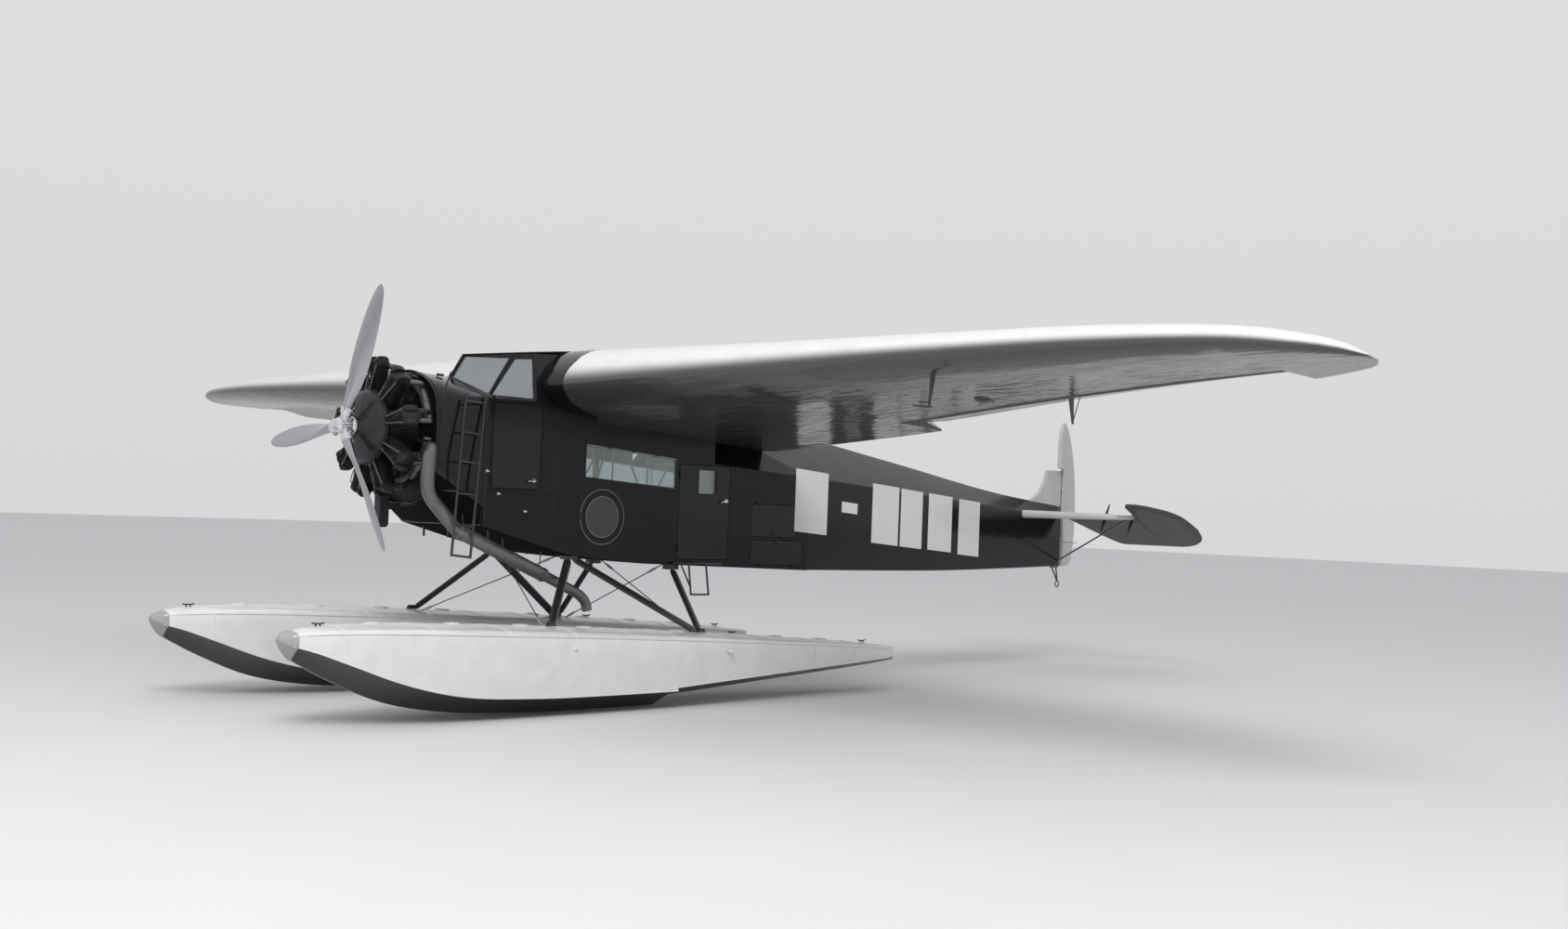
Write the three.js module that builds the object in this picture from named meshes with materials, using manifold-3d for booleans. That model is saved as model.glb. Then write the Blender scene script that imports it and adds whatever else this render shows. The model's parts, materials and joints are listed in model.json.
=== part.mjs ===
// High-wing cabin floatplane with one radial engine, built from separate closed pieces.
//
// The object's own lengths are in millimetres. X points to port, Y points aft and Z points up.
// While the pieces are made, stations count aft from the propeller hub and heights count up from
// its axis. At the end everything moves so that the keels stand at height zero.

import * as THREE from 'three';
import { mergeVertices } from 'three/addons/utils/BufferGeometryUtils.js';
import Module from 'manifold-3d';

const wasm = await Module();
wasm.setup();

// Driving dimensions
const HUB_HEIGHT = 2335; // propeller axis above the keels
const MIDDLE_STATION = 4914.4; // station that becomes Y = 0
const GAP = 0.3; // clear space between pieces that touch
const WALL = 32; // thickness of the cabin walls and of every door
const CABIN_HALF = 640; // half width of the cabin, outside
const CABIN_AFT = 4900; // station of the rear bulkhead's back
const FIREWALL = 640; // station of the firewall's front
const STERN = 9900; // station where the rear fuselage ends
const SIDE_IN = CABIN_HALF - WALL; // half width of the cabin, inside
const WING_HALF = 7700; // half span
const BLADE_RADIUS = 1255; // propeller radius
const CYLINDER_COUNT = 9;
const CYLINDER_RADIUS = 606; // centre line to the top of a cylinder
const FLOAT_X = 1105; // centre line of each float
const KEEL_HALF = 14; // half width of the flat strip along each keel
const MID_SIDES = 12; // sides of a plain round bar
const THIN_SIDES = 8; // sides of a thin one
const RUDDER_REST = 27; // degrees, trailing edge to starboard
const ELEVATOR_REST = -27; // degrees, trailing edge down
const AILERON_REST = 10; // degrees, port trailing edge up

const rad = THREE.MathUtils.degToRad;

// Materials
const PAINTS = {
  black_gloss: [0x0c0d10, 0.1, 0.12],
  bare_panel: [0x5d6064, 0.6, 0.3],
  wing_silver: [0xb9bab6, 0.1, 0.3],
  light_grey: [0xb4b5b2, 0.1, 0.45],
  dark_fabric: [0x303134, 0.1, 0.5],
  float_white: [0xd5d6d2, 0.2, 0.4],
  strut_black: [0x141518, 0.2, 0.4],
  engine_black: [0x1b1b1d, 0.5, 0.5],
  case_grey: [0x7c7d7c, 0.5, 0.4],
  polished: [0xc9cacb, 1.0, 0.18],
  exhaust_steel: [0x7d7a76, 0.8, 0.45],
  glass: [0xc8d4d6, 0.0, 0.05],
  cabin_trim: [0x6f675a, 0.0, 0.8],
  seat_leather: [0x4a3a2c, 0.0, 0.7],
};
const aircraft = new THREE.Group();
aircraft.name = 'floatplane';

// Adds one finished piece to a group, with its own material.
function piece(name, geometry, paint, group = aircraft) {
  const [color, metalness, roughness] = PAINTS[paint];
  const material = new THREE.MeshStandardMaterial({ color, metalness, roughness });
  material.name = paint;
  const mesh = new THREE.Mesh(geometry, material);
  mesh.name = name;
  group.add(mesh);
  return mesh;
}

// Closed forms

// Turns a list of corners and triangles into a closed body whose faces look outwards.
function closedBody(corners, triangles) {
  let volume = 0;
  const a = new THREE.Vector3();
  const b = new THREE.Vector3();
  const c = new THREE.Vector3();
  for (const [i, j, k] of triangles) {
    a.fromArray(corners[i]);
    b.fromArray(corners[j]);
    c.fromArray(corners[k]);
    volume += a.dot(b.cross(c));
  }
  const index = [];
  for (const [i, j, k] of triangles) index.push(...(volume < 0 ? [i, k, j] : [i, j, k]));
  const geometry = new THREE.BufferGeometry();
  geometry.setAttribute('position', new THREE.Float32BufferAttribute(corners.flat(), 3));
  geometry.setIndex(index);
  return geometry;
}

// Skins a row of rings that have the same number of corners, and closes both ends.
function loft(rings) {
  const n = rings[0].length;
  const corners = rings.flat();
  const triangles = [];
  for (let r = 0; r < rings.length - 1; r++) {
    for (let i = 0; i < n; i++) {
      const p = r * n + i;
      const q = r * n + ((i + 1) % n);
      triangles.push([p, q, p + n], [q, q + n, p + n]);
    }
  }
  const last = (rings.length - 1) * n;
  for (const [i, j, k] of capTriangles(rings[0])) triangles.push([i, k, j]);
  for (const [i, j, k] of capTriangles(rings[rings.length - 1])) {
    triangles.push([last + i, last + j, last + k]);
  }
  return closedBody(corners, triangles);
}

// Splits a flat ring into triangles that turn the same way as the ring does.
function capTriangles(ring) {
  const normal = new THREE.Vector3();
  ring.forEach((p, i) => {
    const q = ring[(i + 1) % ring.length];
    normal.x += (p[1] - q[1]) * (p[2] + q[2]);
    normal.y += (p[2] - q[2]) * (p[0] + q[0]);
    normal.z += (p[0] - q[0]) * (p[1] + q[1]);
  });
  normal.normalize();
  const turn = new THREE.Quaternion().setFromUnitVectors(normal, new THREE.Vector3(0, 0, 1));
  const flat = ring.map((p) => {
    const v = new THREE.Vector3(...p).applyQuaternion(turn);
    return new THREE.Vector2(v.x, v.y);
  });
  return THREE.ShapeUtils.triangulateShape(flat, []);
}

// A flat outline pushed along one axis. The outline holds the two other coordinates in X, Y, Z order.
function prism(axis, from, to, outline) {
  const at = {
    x: (t, [u, v]) => [t, u, v],
    y: (t, [u, v]) => [u, t, v],
    z: (t, [u, v]) => [u, v, t],
  }[axis];
  return loft([from, to].map((t) => outline.map((p) => at(t, p))));
}

// A block between two opposite corners.
function block(low, high) {
  const [x0, y0, z0] = low;
  const [x1, y1, z1] = high;
  return prism('x', x0, x1, [[y0, z0], [y1, z0], [y1, z1], [y0, z1]]);
}

// A straight bar from one point to another whose section is a list of [across, up] corners.
function bar(from, to, section, up = [0, 1, 0], endSection = section) {
  const a = new THREE.Vector3(...from);
  const b = new THREE.Vector3(...to);
  const along = b.clone().sub(a).normalize();
  const side = new THREE.Vector3(...up).cross(along).normalize();
  const rise = along.clone().cross(side).normalize();
  const ring = (p, outline) => outline.map(([u, v]) => {
    return p.clone().addScaledVector(side, u).addScaledVector(rise, v).toArray();
  });
  return loft([ring(a, section), ring(b, endSection)]);
}

// Section outlines for bars
function circle(radius, sides = MID_SIDES) {
  return Array.from({ length: sides }, (_, i) => {
    const t = (2 * Math.PI * (i + 0.5)) / sides;
    return [radius * Math.cos(t), radius * Math.sin(t)];
  });
}
function oval(across, deep, sides = MID_SIDES) {
  return circle(1, sides).map(([u, v]) => [(u * across) / 2, (v * deep) / 2]);
}

// A round bar, or a cone when the two radii differ.
function rod(from, to, radius, endRadius = radius, sides = MID_SIDES) {
  const along = new THREE.Vector3(...to).sub(new THREE.Vector3(...from)).normalize();
  const up = Math.abs(along.y) > 0.9 ? [0, 0, 1] : [0, 1, 0];
  return bar(from, to, circle(radius, sides), up, circle(endRadius, sides));
}

// A round tube bent through a list of points, with a ring on each corner's middle plane.
function bentRod(points, radii, sides = MID_SIDES) {
  const path = points.map((p) => new THREE.Vector3(...p));
  const list = typeof radii === 'number' ? path.map(() => radii) : radii;
  const steps = path.slice(1).map((p, i) => p.clone().sub(path[i]).normalize());
  let side = new THREE.Vector3(0, 1, 0).cross(steps[0]);
  if (side.length() < 0.1) side = new THREE.Vector3(1, 0, 0);
  const rings = path.map((p, i) => {
    const before = steps[Math.max(i - 1, 0)];
    const after = steps[Math.min(i, steps.length - 1)];
    const along = before.clone().add(after).normalize();
    side = side.clone().addScaledVector(along, -side.dot(along)).normalize();
    const rise = along.clone().cross(side);
    const stretch = 1 / Math.max(along.dot(after), 0.5);
    const bend = after.clone().sub(before);
    bend.addScaledVector(along, -bend.dot(along));
    if (bend.length() > 1e-6) bend.normalize();
    return circle(list[i], sides).map(([u, v]) => {
      const arm = side.clone().multiplyScalar(u).addScaledVector(rise, v);
      arm.addScaledVector(bend, arm.dot(bend) * (stretch - 1));
      return p.clone().add(arm).toArray();
    });
  });
  return loft(rings);
}

// A thin round bar of few sides.
function thinRod(from, to, radius) {
  return rod(from, to, radius, radius, THIN_SIDES);
}

// A body turned round an axis through a point: profile corners are [radius, along].
function turned(profile, centre, axis = [0, 1, 0], sides = 32) {
  const corners = profile.map(([r, t]) => new THREE.Vector2(r, t));
  const geometry = new THREE.LatheGeometry(corners, sides);
  const turn = new THREE.Quaternion().setFromUnitVectors(
    new THREE.Vector3(0, 1, 0),
    new THREE.Vector3(...axis).normalize(),
  );
  geometry.applyQuaternion(turn);
  geometry.translate(...centre);
  return geometry;
}

// Joining and cutting

function toSolid(geometry) {
  const bare = geometry.clone();
  bare.deleteAttribute('normal');
  bare.deleteAttribute('uv');
  const merged = mergeVertices(bare, 1e-3);
  const triVerts = new Uint32Array(merged.index.array);
  const vertProperties = new Float32Array(merged.attributes.position.array);
  const solid = new wasm.Manifold(new wasm.Mesh({ numProp: 3, vertProperties, triVerts }));
  if (solid.volume() > 0) return solid;
  for (let i = 0; i < triVerts.length; i += 3) {
    const keep = triVerts[i + 1];
    triVerts[i + 1] = triVerts[i + 2];
    triVerts[i + 2] = keep;
  }
  return new wasm.Manifold(new wasm.Mesh({ numProp: 3, vertProperties, triVerts }));
}
function toGeometry(solid) {
  const mesh = solid.getMesh();
  const geometry = new THREE.BufferGeometry();
  const places = new Float32Array(mesh.numVert * 3);
  for (let i = 0; i < mesh.numVert; i++) {
    for (let k = 0; k < 3; k++) places[3 * i + k] = mesh.vertProperties[mesh.numProp * i + k];
  }
  geometry.setAttribute('position', new THREE.BufferAttribute(places, 3));
  geometry.setIndex(new THREE.BufferAttribute(new Uint32Array(mesh.triVerts), 1));
  return geometry;
}
function join(...parts) {
  return toGeometry(parts.map(toSolid).reduce((sum, part) => sum.add(part)));
}
function cut(body, ...tools) {
  return toGeometry(tools.map(toSolid).reduce((rest, tool) => rest.subtract(tool), toSolid(body)));
}
function common(body, tool) {
  return toGeometry(toSolid(body).intersect(toSolid(tool)));
}

// Turns a geometry round an axis through a point.
function swing(geometry, point, axis, degrees) {
  const turn = new THREE.Quaternion();
  turn.setFromAxisAngle(new THREE.Vector3(...axis).normalize(), rad(degrees));
  return geometry
    .clone()
    .translate(-point[0], -point[1], -point[2])
    .applyQuaternion(turn)
    .translate(...point);
}

// The same form on the other side of the aircraft.
function mirrored(geometry) {
  const other = geometry.clone().scale(-1, 1, 1);
  const index = other.index.array;
  for (let i = 0; i < index.length; i += 3) {
    const keep = index[i + 1];
    index[i + 1] = index[i + 2];
    index[i + 2] = keep;
  }
  return other;
}

// Wing

// Each station: place along the span, station of the leading and trailing edge, height of both
// edges, and how far the upper and lower skin stand off the line between them.
const WING_STATIONS = [
  { x: 640, le: 1575, te: 4400, nose: 440, tail: 22, crest: 437, belly: 188 },
  { x: 3000, le: 1720, te: 4120, nose: 520, tail: 185, crest: 316, belly: 150 },
  { x: 4800, le: 1830, te: 3890, nose: 575, tail: 335, crest: 236, belly: 118 },
  { x: 6300, le: 1960, te: 3610, nose: 600, tail: 430, crest: 181, belly: 85 },
  { x: 6950, le: 2070, te: 3400, nose: 595, tail: 462, crest: 145, belly: 62 },
  { x: 7350, le: 2230, te: 3190, nose: 570, tail: 482, crest: 108, belly: 42 },
  { x: 7600, le: 2450, te: 2980, nose: 545, tail: 495, crest: 60, belly: 25 },
  { x: WING_HALF, le: 2640, te: 2790, nose: 522, tail: 506, crest: 14, belly: 10 },
];
// Section corners: fraction of the chord, and fraction of the crest (+) or the belly (-).
const SECTION = [
  [0, 0], [0.012, 0.26], [0.045, 0.52], [0.085, 0.74], [0.14, 0.92], [0.22, 1], [0.4, 0.96],
  [0.58, 0.78], [0.76, 0.5], [0.9, 0.24], [1, 0.025], [1, -0.05],
  [0.85, -0.21], [0.7, -0.45], [0.54, -0.62], [0.37, -0.84], [0.22, -1], [0.11, -0.98],
  [0.05, -0.78], [0.015, -0.42],
];
function wingRing(s, side, grow) {
  return SECTION.map(([f, h]) => {
    const base = s.nose + (s.tail - s.nose) * f;
    const z = base + h * (h > 0 ? s.crest : s.belly) + Math.sign(h) * grow;
    return [side * s.x, s.le - grow + (s.te - s.le + 2 * grow) * f, z];
  });
}
function wingBody(grow) {
  return loft([
    ...WING_STATIONS.map((s) => wingRing(s, -1, grow)).reverse(),
    ...WING_STATIONS.map((s) => wingRing(s, 1, grow)),
  ]);
}
function wingAt(x) {
  const i = WING_STATIONS.findIndex((s, k) => k > 0 && s.x >= x);
  const a = WING_STATIONS[i - 1];
  const b = WING_STATIONS[i];
  const t = (x - a.x) / (b.x - a.x);
  return Object.fromEntries(Object.keys(a).map((key) => [key, a[key] + (b[key] - a[key]) * t]));
}
const WING_GAP = 0.5; // clear space round the wing
const wingSolid = wingBody(0);
const wingGrown = wingBody(WING_GAP);

// Each aileron is the back of the wing behind a hinge line, with a round nose on that line.
const AILERON_ENDS = [
  { x: 3050, chord: 480, radius: 126 },
  { x: 6930, chord: 400, radius: 82 },
];
const AILERON_GAP = 14; // round its nose
const AILERON_END_GAP = 24; // beside each end
const HINGE_RISE = 15; // the hinge lies above the middle of the thickness
const PIN = { radius: 18, start: 3 + GAP, depth: 40 }; // hinge pin: where it starts and how deep it sits
const BEHIND_WING = 4700; // a station aft of the whole wing
const hingePoints = AILERON_ENDS.map(({ x, chord }) => {
  const s = wingAt(x);
  const f = 1 - chord / (s.te - s.le);
  const base = s.nose + (s.tail - s.nose) * f;
  const above = THREE.MathUtils.mapLinear(f, 0.7, 0.9, 0.6, 0.24) * s.crest;
  const below = THREE.MathUtils.mapLinear(f, 0.7, 0.85, 0.45, 0.21) * s.belly;
  return [x, s.te - chord, base + (above - below) / 2 + HINGE_RISE];
});
function behindHinge(grow) {
  const [a, b] = hingePoints;
  const [inner, outer] = [a[0] - grow, b[0] + grow];
  return prism('z', -200, 1000, [
    [inner, a[1]], [outer, b[1]], [outer, BEHIND_WING], [inner, BEHIND_WING],
  ]);
}
function hingeRoll(grow, reach) {
  const [a, b] = hingePoints;
  const along = new THREE.Vector3(...b).sub(new THREE.Vector3(...a)).normalize();
  const start = new THREE.Vector3(...a).addScaledVector(along, -reach).toArray();
  const end = new THREE.Vector3(...b).addScaledVector(along, reach).toArray();
  return rod(start, end, AILERON_ENDS[0].radius + grow, AILERON_ENDS[1].radius + grow, 16);
}
const aileronSlot = join(behindHinge(AILERON_END_GAP), hingeRoll(AILERON_GAP, AILERON_END_GAP));
const aileronPlain = common(wingSolid, join(behindHinge(0), hingeRoll(0, 0)));
const aileronAxis = hingePoints[1].map((v, i) => v - hingePoints[0][i]);
const otherAxis = [aileronAxis[0], -aileronAxis[1], -aileronAxis[2]];
const otherHinge = [-hingePoints[0][0], hingePoints[0][1], hingePoints[0][2]];
// Hinge pins stand in both end walls of the slot and stop just short of the aileron's ends.
const aileronPins = hingePoints.map((end, i) => {
  const along = new THREE.Vector3(...aileronAxis).normalize().multiplyScalar(i ? 1 : -1);
  const near = new THREE.Vector3(...end).addScaledVector(along, PIN.start);
  const far = new THREE.Vector3(...end).addScaledVector(along, AILERON_END_GAP + PIN.depth);
  return rod(near.toArray(), far.toArray(), PIN.radius);
});
piece(
  'wing',
  join(
    cut(wingSolid, aileronSlot, mirrored(aileronSlot)),
    ...aileronPins,
    ...aileronPins.map(mirrored),
  ),
  'wing_silver',
);
piece('aileron_port', swing(aileronPlain, hingePoints[0], aileronAxis, AILERON_REST), 'wing_silver');
piece(
  'aileron_starboard',
  swing(mirrored(aileronPlain), otherHinge, otherAxis, -AILERON_REST),
  'wing_silver',
);

// Fuselage lines

// Underside of the cabin in side view: station, height.
const KEEL_LINE = [[1000, -800], [1530, -942], [1900, -1035], [2750, -1105], [CABIN_AFT, -1160]];
const SILL = 290; // bottom of the cockpit windows
const DECK_AT = 3600; // station where the ridged deck starts
const CREASE = [[DECK_AT, -150], [CABIN_AFT, -225]]; // upper edge of the flat side behind the wing

// Openings in the cabin walls: station and height of two opposite corners, and the sides they are on.
const COCKPIT_DOOR = [[1060, -470], [1560, 262]];
const CABIN_DOOR = [[3171, -1060], [3801, -172]];
const DOOR_WINDOW = [[3408, -437], [3630, -215]];
const CABIN_WINDOW = [[2060, -334], [3126, -402], [3126, -137], [2060, -56]];
const REAR_WINDOW = [[3180, -405], [4230, -470], [4230, -225], [3180, -140]]; // starboard side only
const BAGGAGE_UPPER = [[4112, -832], [4730, -516]];
const BAGGAGE_LOWER = [[4112, -1108], [4818, -868]];
const DOOR_GAP = 6;
const PANE = { depth: 12, thick: 6 }; // a cabin pane lies this far in from the wall's inner face

// Door hinges: a knuckle on the door and one on the wall share an axis just outside the skin. The
// axis runs along 'z' or 'y', `at` is its place on the other of the two, `toward` is the door's side.
const HINGE_X = 648;
const KNUCKLE = { radius: 7, length: 30, leaf: 26 };
const HALF_GAP = DOOR_GAP / 2;
const HINGES = {
  cockpit: { along: 'z', at: COCKPIT_DOOR[0][0] - HALF_GAP, toward: 1, places: [-400, 190] },
  cabin: { along: 'z', at: CABIN_DOOR[0][0] - HALF_GAP, toward: 1, places: [-960, -260] },
  upper: { along: 'y', at: BAGGAGE_UPPER[1][1] + HALF_GAP, toward: -1, places: [4200, 4640] },
  lower: { along: 'y', at: BAGGAGE_LOWER[0][1] - HALF_GAP, toward: 1, places: [4240, 4700] },
};
const LEAF_SPAN = [CABIN_HALF - 6, CABIN_HALF + 4]; // how deep a hinge leaf sits and how far it stands out
function knuckles({ along, at, toward, places }, onDoor) {
  const { radius, length, leaf } = KNUCKLE;
  return places.flatMap((place) => {
    const [t0, t1] = onDoor ? [place, place + length] : [place - GAP - length, place - GAP];
    const reach = at + (onDoor ? toward : -toward) * leaf;
    const [low, high] = [Math.min(at, reach), Math.max(at, reach)];
    const point = (t) => (along === 'z' ? [HINGE_X, at, t] : [HINGE_X, t, at]);
    const [x0, x1] = LEAF_SPAN;
    return [
      rod(point(t0), point(t1), radius),
      along === 'z' ? block([x0, low, t0], [x1, high, t1]) : block([x0, t0, low], [x1, t1, high]),
    ];
  });
}

function rectangle([[y0, z0], [y1, z1]], grow = 0) {
  return [
    [y0 - grow, z0 - grow], [y1 + grow, z0 - grow], [y1 + grow, z1 + grow], [y0 - grow, z1 + grow],
  ];
}
function through(outline) {
  return prism('x', SIDE_IN - 50, CABIN_HALF + 50, outline);
}
const wallOutline = [
  ...KEEL_LINE,
  CREASE[1], CREASE[0], [DECK_AT, 110], [2200, 260], [1750, SILL], [1000, SILL],
];
function cabinWall(openings, hinges) {
  const slab = prism('x', SIDE_IN, CABIN_HALF, wallOutline);
  return join(
    cut(slab, wingGrown, ...openings.map(through)),
    ...hinges.flatMap((hinge) => knuckles(hinge, false)),
  );
}
piece(
  'cabin_wall_port',
  cabinWall(
    [
      rectangle(COCKPIT_DOOR, DOOR_GAP),
      rectangle(CABIN_DOOR, DOOR_GAP),
      CABIN_WINDOW,
      rectangle(BAGGAGE_UPPER, DOOR_GAP),
      rectangle(BAGGAGE_LOWER, DOOR_GAP),
    ],
    Object.values(HINGES),
  ),
  'black_gloss',
);
piece(
  'cabin_wall_starboard',
  mirrored(cabinWall(
    [rectangle(COCKPIT_DOOR, DOOR_GAP), CABIN_WINDOW, REAR_WINDOW],
    [HINGES.cockpit],
  )),
  'black_gloss',
);

// Pieces that fill the cabin from wall to wall, each given by its outline in side view: the floor,
// the ceiling under the wing, the low panel before the baggage space and the rear bulkhead
const inside = SIDE_IN - GAP;
const across = (outline) => prism('x', -inside, inside, outline);
const FLOOR_THICK = 40;
const floorTop = KEEL_LINE.map(([y, z]) => [y, z + FLOOR_THICK]).reverse();
const CEILING = [[2050, 130], [3599, 40], [3599, 20], [2050, 110]];
const PARTITION = [[3920, -1093], [3940, -1094], [3940, -480], [3920, -480]];
const BULKHEAD = [
  [CABIN_AFT - 30, -1118], [CABIN_AFT - GAP, -1119], [CABIN_AFT - GAP, -226],
  [CABIN_AFT - 30, -224.5],
];
piece('cabin_floor', across([...KEEL_LINE, ...floorTop]), 'black_gloss');
piece('cabin_ceiling', across(CEILING), 'cabin_trim');
piece('rear_bulkhead', across(BULKHEAD), 'cabin_trim');
piece('cabin_partition', across(PARTITION), 'cabin_trim');

// Ridged deck behind the wing, whose front is let into the wing's upper skin
const DECK_NOSE = 3200; // station of its front, above the wing
const RIDGE = { half: 18, height: 298, fall: 0.146 }; // at the back end; fall for each mm further aft
function deckRing(y) {
  const crease = THREE.MathUtils.mapLinear(y, DECK_AT, CABIN_AFT, CREASE[0][1], CREASE[1][1]) + GAP;
  const ridge = RIDGE.height - RIDGE.fall * (y - CABIN_AFT);
  return [
    [-CABIN_HALF, y, crease], [CABIN_HALF, y, crease], [RIDGE.half, y, ridge], [-RIDGE.half, y, ridge],
  ];
}
const belowWing = block(
  [-CABIN_HALF - 50, DECK_NOSE - 100, -400],
  [CABIN_HALF + 50, DECK_AT + GAP, 300],
);
piece('rear_deck', cut(loft([DECK_NOSE, CABIN_AFT].map(deckRing)), wingGrown, belowWing), 'black_gloss');

// Rear fuselage: half width, height of the bottom, the crease and the ridge at each station
const REAR_SECTIONS = [
  { y: CABIN_AFT + GAP, half: 640, bottom: -1160, crease: -225, ridge: 298 },
  { y: 7000, half: 400, bottom: -1172, crease: -346, ridge: -9 },
  { y: 8700, half: 192, bottom: -1150, crease: -443, ridge: -258 },
  { y: STERN, half: 50, bottom: -1122, crease: -512, ridge: -368 },
];
const RIDGE_END_HALF = 14; // half width of the flat along the ridge
function rearBody(grow) {
  return loft(REAR_SECTIONS.map(({ y, half, bottom, crease, ridge }) => {
    const x = half + grow;
    const top = RIDGE_END_HALF + grow;
    return [
      [-x, y, bottom - grow], [x, y, bottom - grow], [x, y, crease],
      [top, y, ridge + grow], [-top, y, ridge + grow], [-x, y, crease],
    ];
  }));
}
const rearSolid = rearBody(0);
const rearGrown = rearBody(GAP);

// Tail

const TAIL_Z = -492; // height of the tailplane and of the elevator hinge
const ELEVATOR_Y = 9930; // station of the elevator hinge
const RUDDER_Y = 10010; // station of the rudder hinge
const POST_Y = RUDDER_Y - 43; // station of the stern post
const LUG_CLEAR = 12; // a lug stops this far from the hinge line
// Tailplane: x, station of the front and back, thickness
const TAILPLANE = [
  { x: 0, front: 8960, back: 9885, thick: 96 },
  { x: 700, front: 9200, back: 9885, thick: 84 },
  { x: 1060, front: 9370, back: 9885, thick: 74 },
  { x: 1165, front: 9500, back: 9885, thick: 60 },
];
const LEAF = [[0, 0], [0.03, 0.5], [0.12, 0.85], [0.35, 1], [1, 0.72]];
function leafRing(x, front, back, thick, grow = 0) {
  const length = back - front + 2 * grow;
  const half = thick / 2 + grow;
  const upper = LEAF.map(([f, h]) => [x, front - grow + f * length, TAIL_Z + h * half]);
  const lower = LEAF.slice(1).reverse();
  return [...upper, ...lower.map(([f, h]) => [x, front - grow + f * length, TAIL_Z - h * half])];
}
function tailplane(grow) {
  const side = (sign) => TAILPLANE.slice(1).map((s) => {
    return leafRing(sign * s.x, s.front, s.back, s.thick, grow);
  });
  const middle = leafRing(0, TAILPLANE[0].front, TAILPLANE[0].back, TAILPLANE[0].thick, grow);
  return loft([...side(-1).reverse(), middle, ...side(1)]);
}
// A round bar with a clear space of one gap that a hinge nose needs.
function noseRoom(from, to, radius) {
  return rod(from, to, radius + GAP, radius + GAP, 24);
}
// Hinge lugs on its back edge reach the elevator's round nose.
const ELEVATOR_NOSE = 28;
const ELEVATOR_LUG = { places: [-1090, -620, 620, 1090], half: 11, deep: 13, start: 9870 };
const elevatorLugs = ELEVATOR_LUG.places.map((x) => {
  const { half, deep, start } = ELEVATOR_LUG;
  return block([x - half, start, TAIL_Z - deep], [x + half, ELEVATOR_Y - LUG_CLEAR, TAIL_Z + deep]);
});
const elevatorRoom = noseRoom([-1300, ELEVATOR_Y, TAIL_Z], [1300, ELEVATOR_Y, TAIL_Z], ELEVATOR_NOSE);
piece('tailplane', cut(join(tailplane(0), ...elevatorLugs), elevatorRoom), 'light_grey');

// The elevator has a horn in front of the hinge outside the tailplane: x, distance behind the hinge.
const HORN_X = 1186; // where the horn starts
const ELEVATOR_OUTLINE = [
  [105, 0], [HORN_X, 0], [HORN_X, -318], [1330, -308], [1560, -225], [1740, -105], [1850, 70],
  [1872, 250], [1820, 440], [1700, 590], [1540, 676], [1380, 704], [620, 704], [520, 672], [105, 40],
];
// Half thickness of the elevator at the front and at the back edge
const ELEVATOR_WEDGE = [
  [-400, -28], [60, -28], [720, -7], [720, 7], [60, 28], [-400, 28],
];
const elevatorHalf = common(prism('z', -60, 60, ELEVATOR_OUTLINE), prism('x', 50, 2000, ELEVATOR_WEDGE));
const elevatorTube = rod([-240, 0, 0], [240, 0, 0], 17);
const elevatorNose = rod([104, 0, 0], [HORN_X, 0, 0], ELEVATOR_NOSE);
const elevatorFlat = join(
  elevatorHalf,
  mirrored(elevatorHalf),
  elevatorTube,
  elevatorNose,
  mirrored(elevatorNose),
);
const elevatorPoint = [0, ELEVATOR_Y, TAIL_Z];
piece(
  'elevator',
  swing(elevatorFlat.translate(...elevatorPoint), elevatorPoint, [1, 0, 0], ELEVATOR_REST),
  'dark_fabric',
);

// Stern post with the brackets that hold it, and the fin that stands on the ridge
const POST = { foot: -1125, top: 62, radius: 13 };
const RUDDER_NOSE = 24;
const RUDDER_LUG = { heights: [-1000, -700, -200, 30], half: 10, deep: 16 };
const rudderLugs = RUDDER_LUG.heights.map((z) => {
  const { half, deep } = RUDDER_LUG;
  return block([-half, POST_Y, z - deep], [half, RUDDER_Y - LUG_CLEAR, z + deep]);
});
const POST_BRACKETS = [[-1100, -1040], [-420, -380]]; // low and high edge of each
piece(
  'stern_post',
  cut(
    join(
      rod([0, POST_Y, POST.foot], [0, POST_Y, POST.top], POST.radius),
      ...POST_BRACKETS.map(([low, high]) => block([-12, STERN + GAP, low], [12, POST_Y, high])),
      ...rudderLugs,
    ),
    noseRoom([0, RUDDER_Y, -1200], [0, RUDDER_Y, 100], RUDDER_NOSE),
  ),
  'strut_black',
);
const FIN_HALF = 22; // half thickness
const FIN_BACK = POST_Y - POST.radius;
const FIN_OUTLINE = [
  [9290, -340], [9440, -262], [9545, -170], [9618, -60], [9655, POST.top], [FIN_BACK, POST.top],
  [FIN_BACK, -362],
];
const FIN_SEAT = [[9180, -290], [10000, -290], [10000, -376], [9180, -310]]; // slot in the ridge
const finFoot = prism('x', -80, 80, [[9200, -700], [10000, -700], [10000, -375], [9200, -309]]);
piece('fin', cut(prism('x', -FIN_HALF, FIN_HALF, FIN_OUTLINE), finFoot), 'light_grey');
piece(
  'rear_fuselage',
  cut(rearSolid, tailplane(GAP), prism('x', -FIN_HALF - 1, FIN_HALF + 1, FIN_SEAT)),
  'black_gloss',
);

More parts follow.
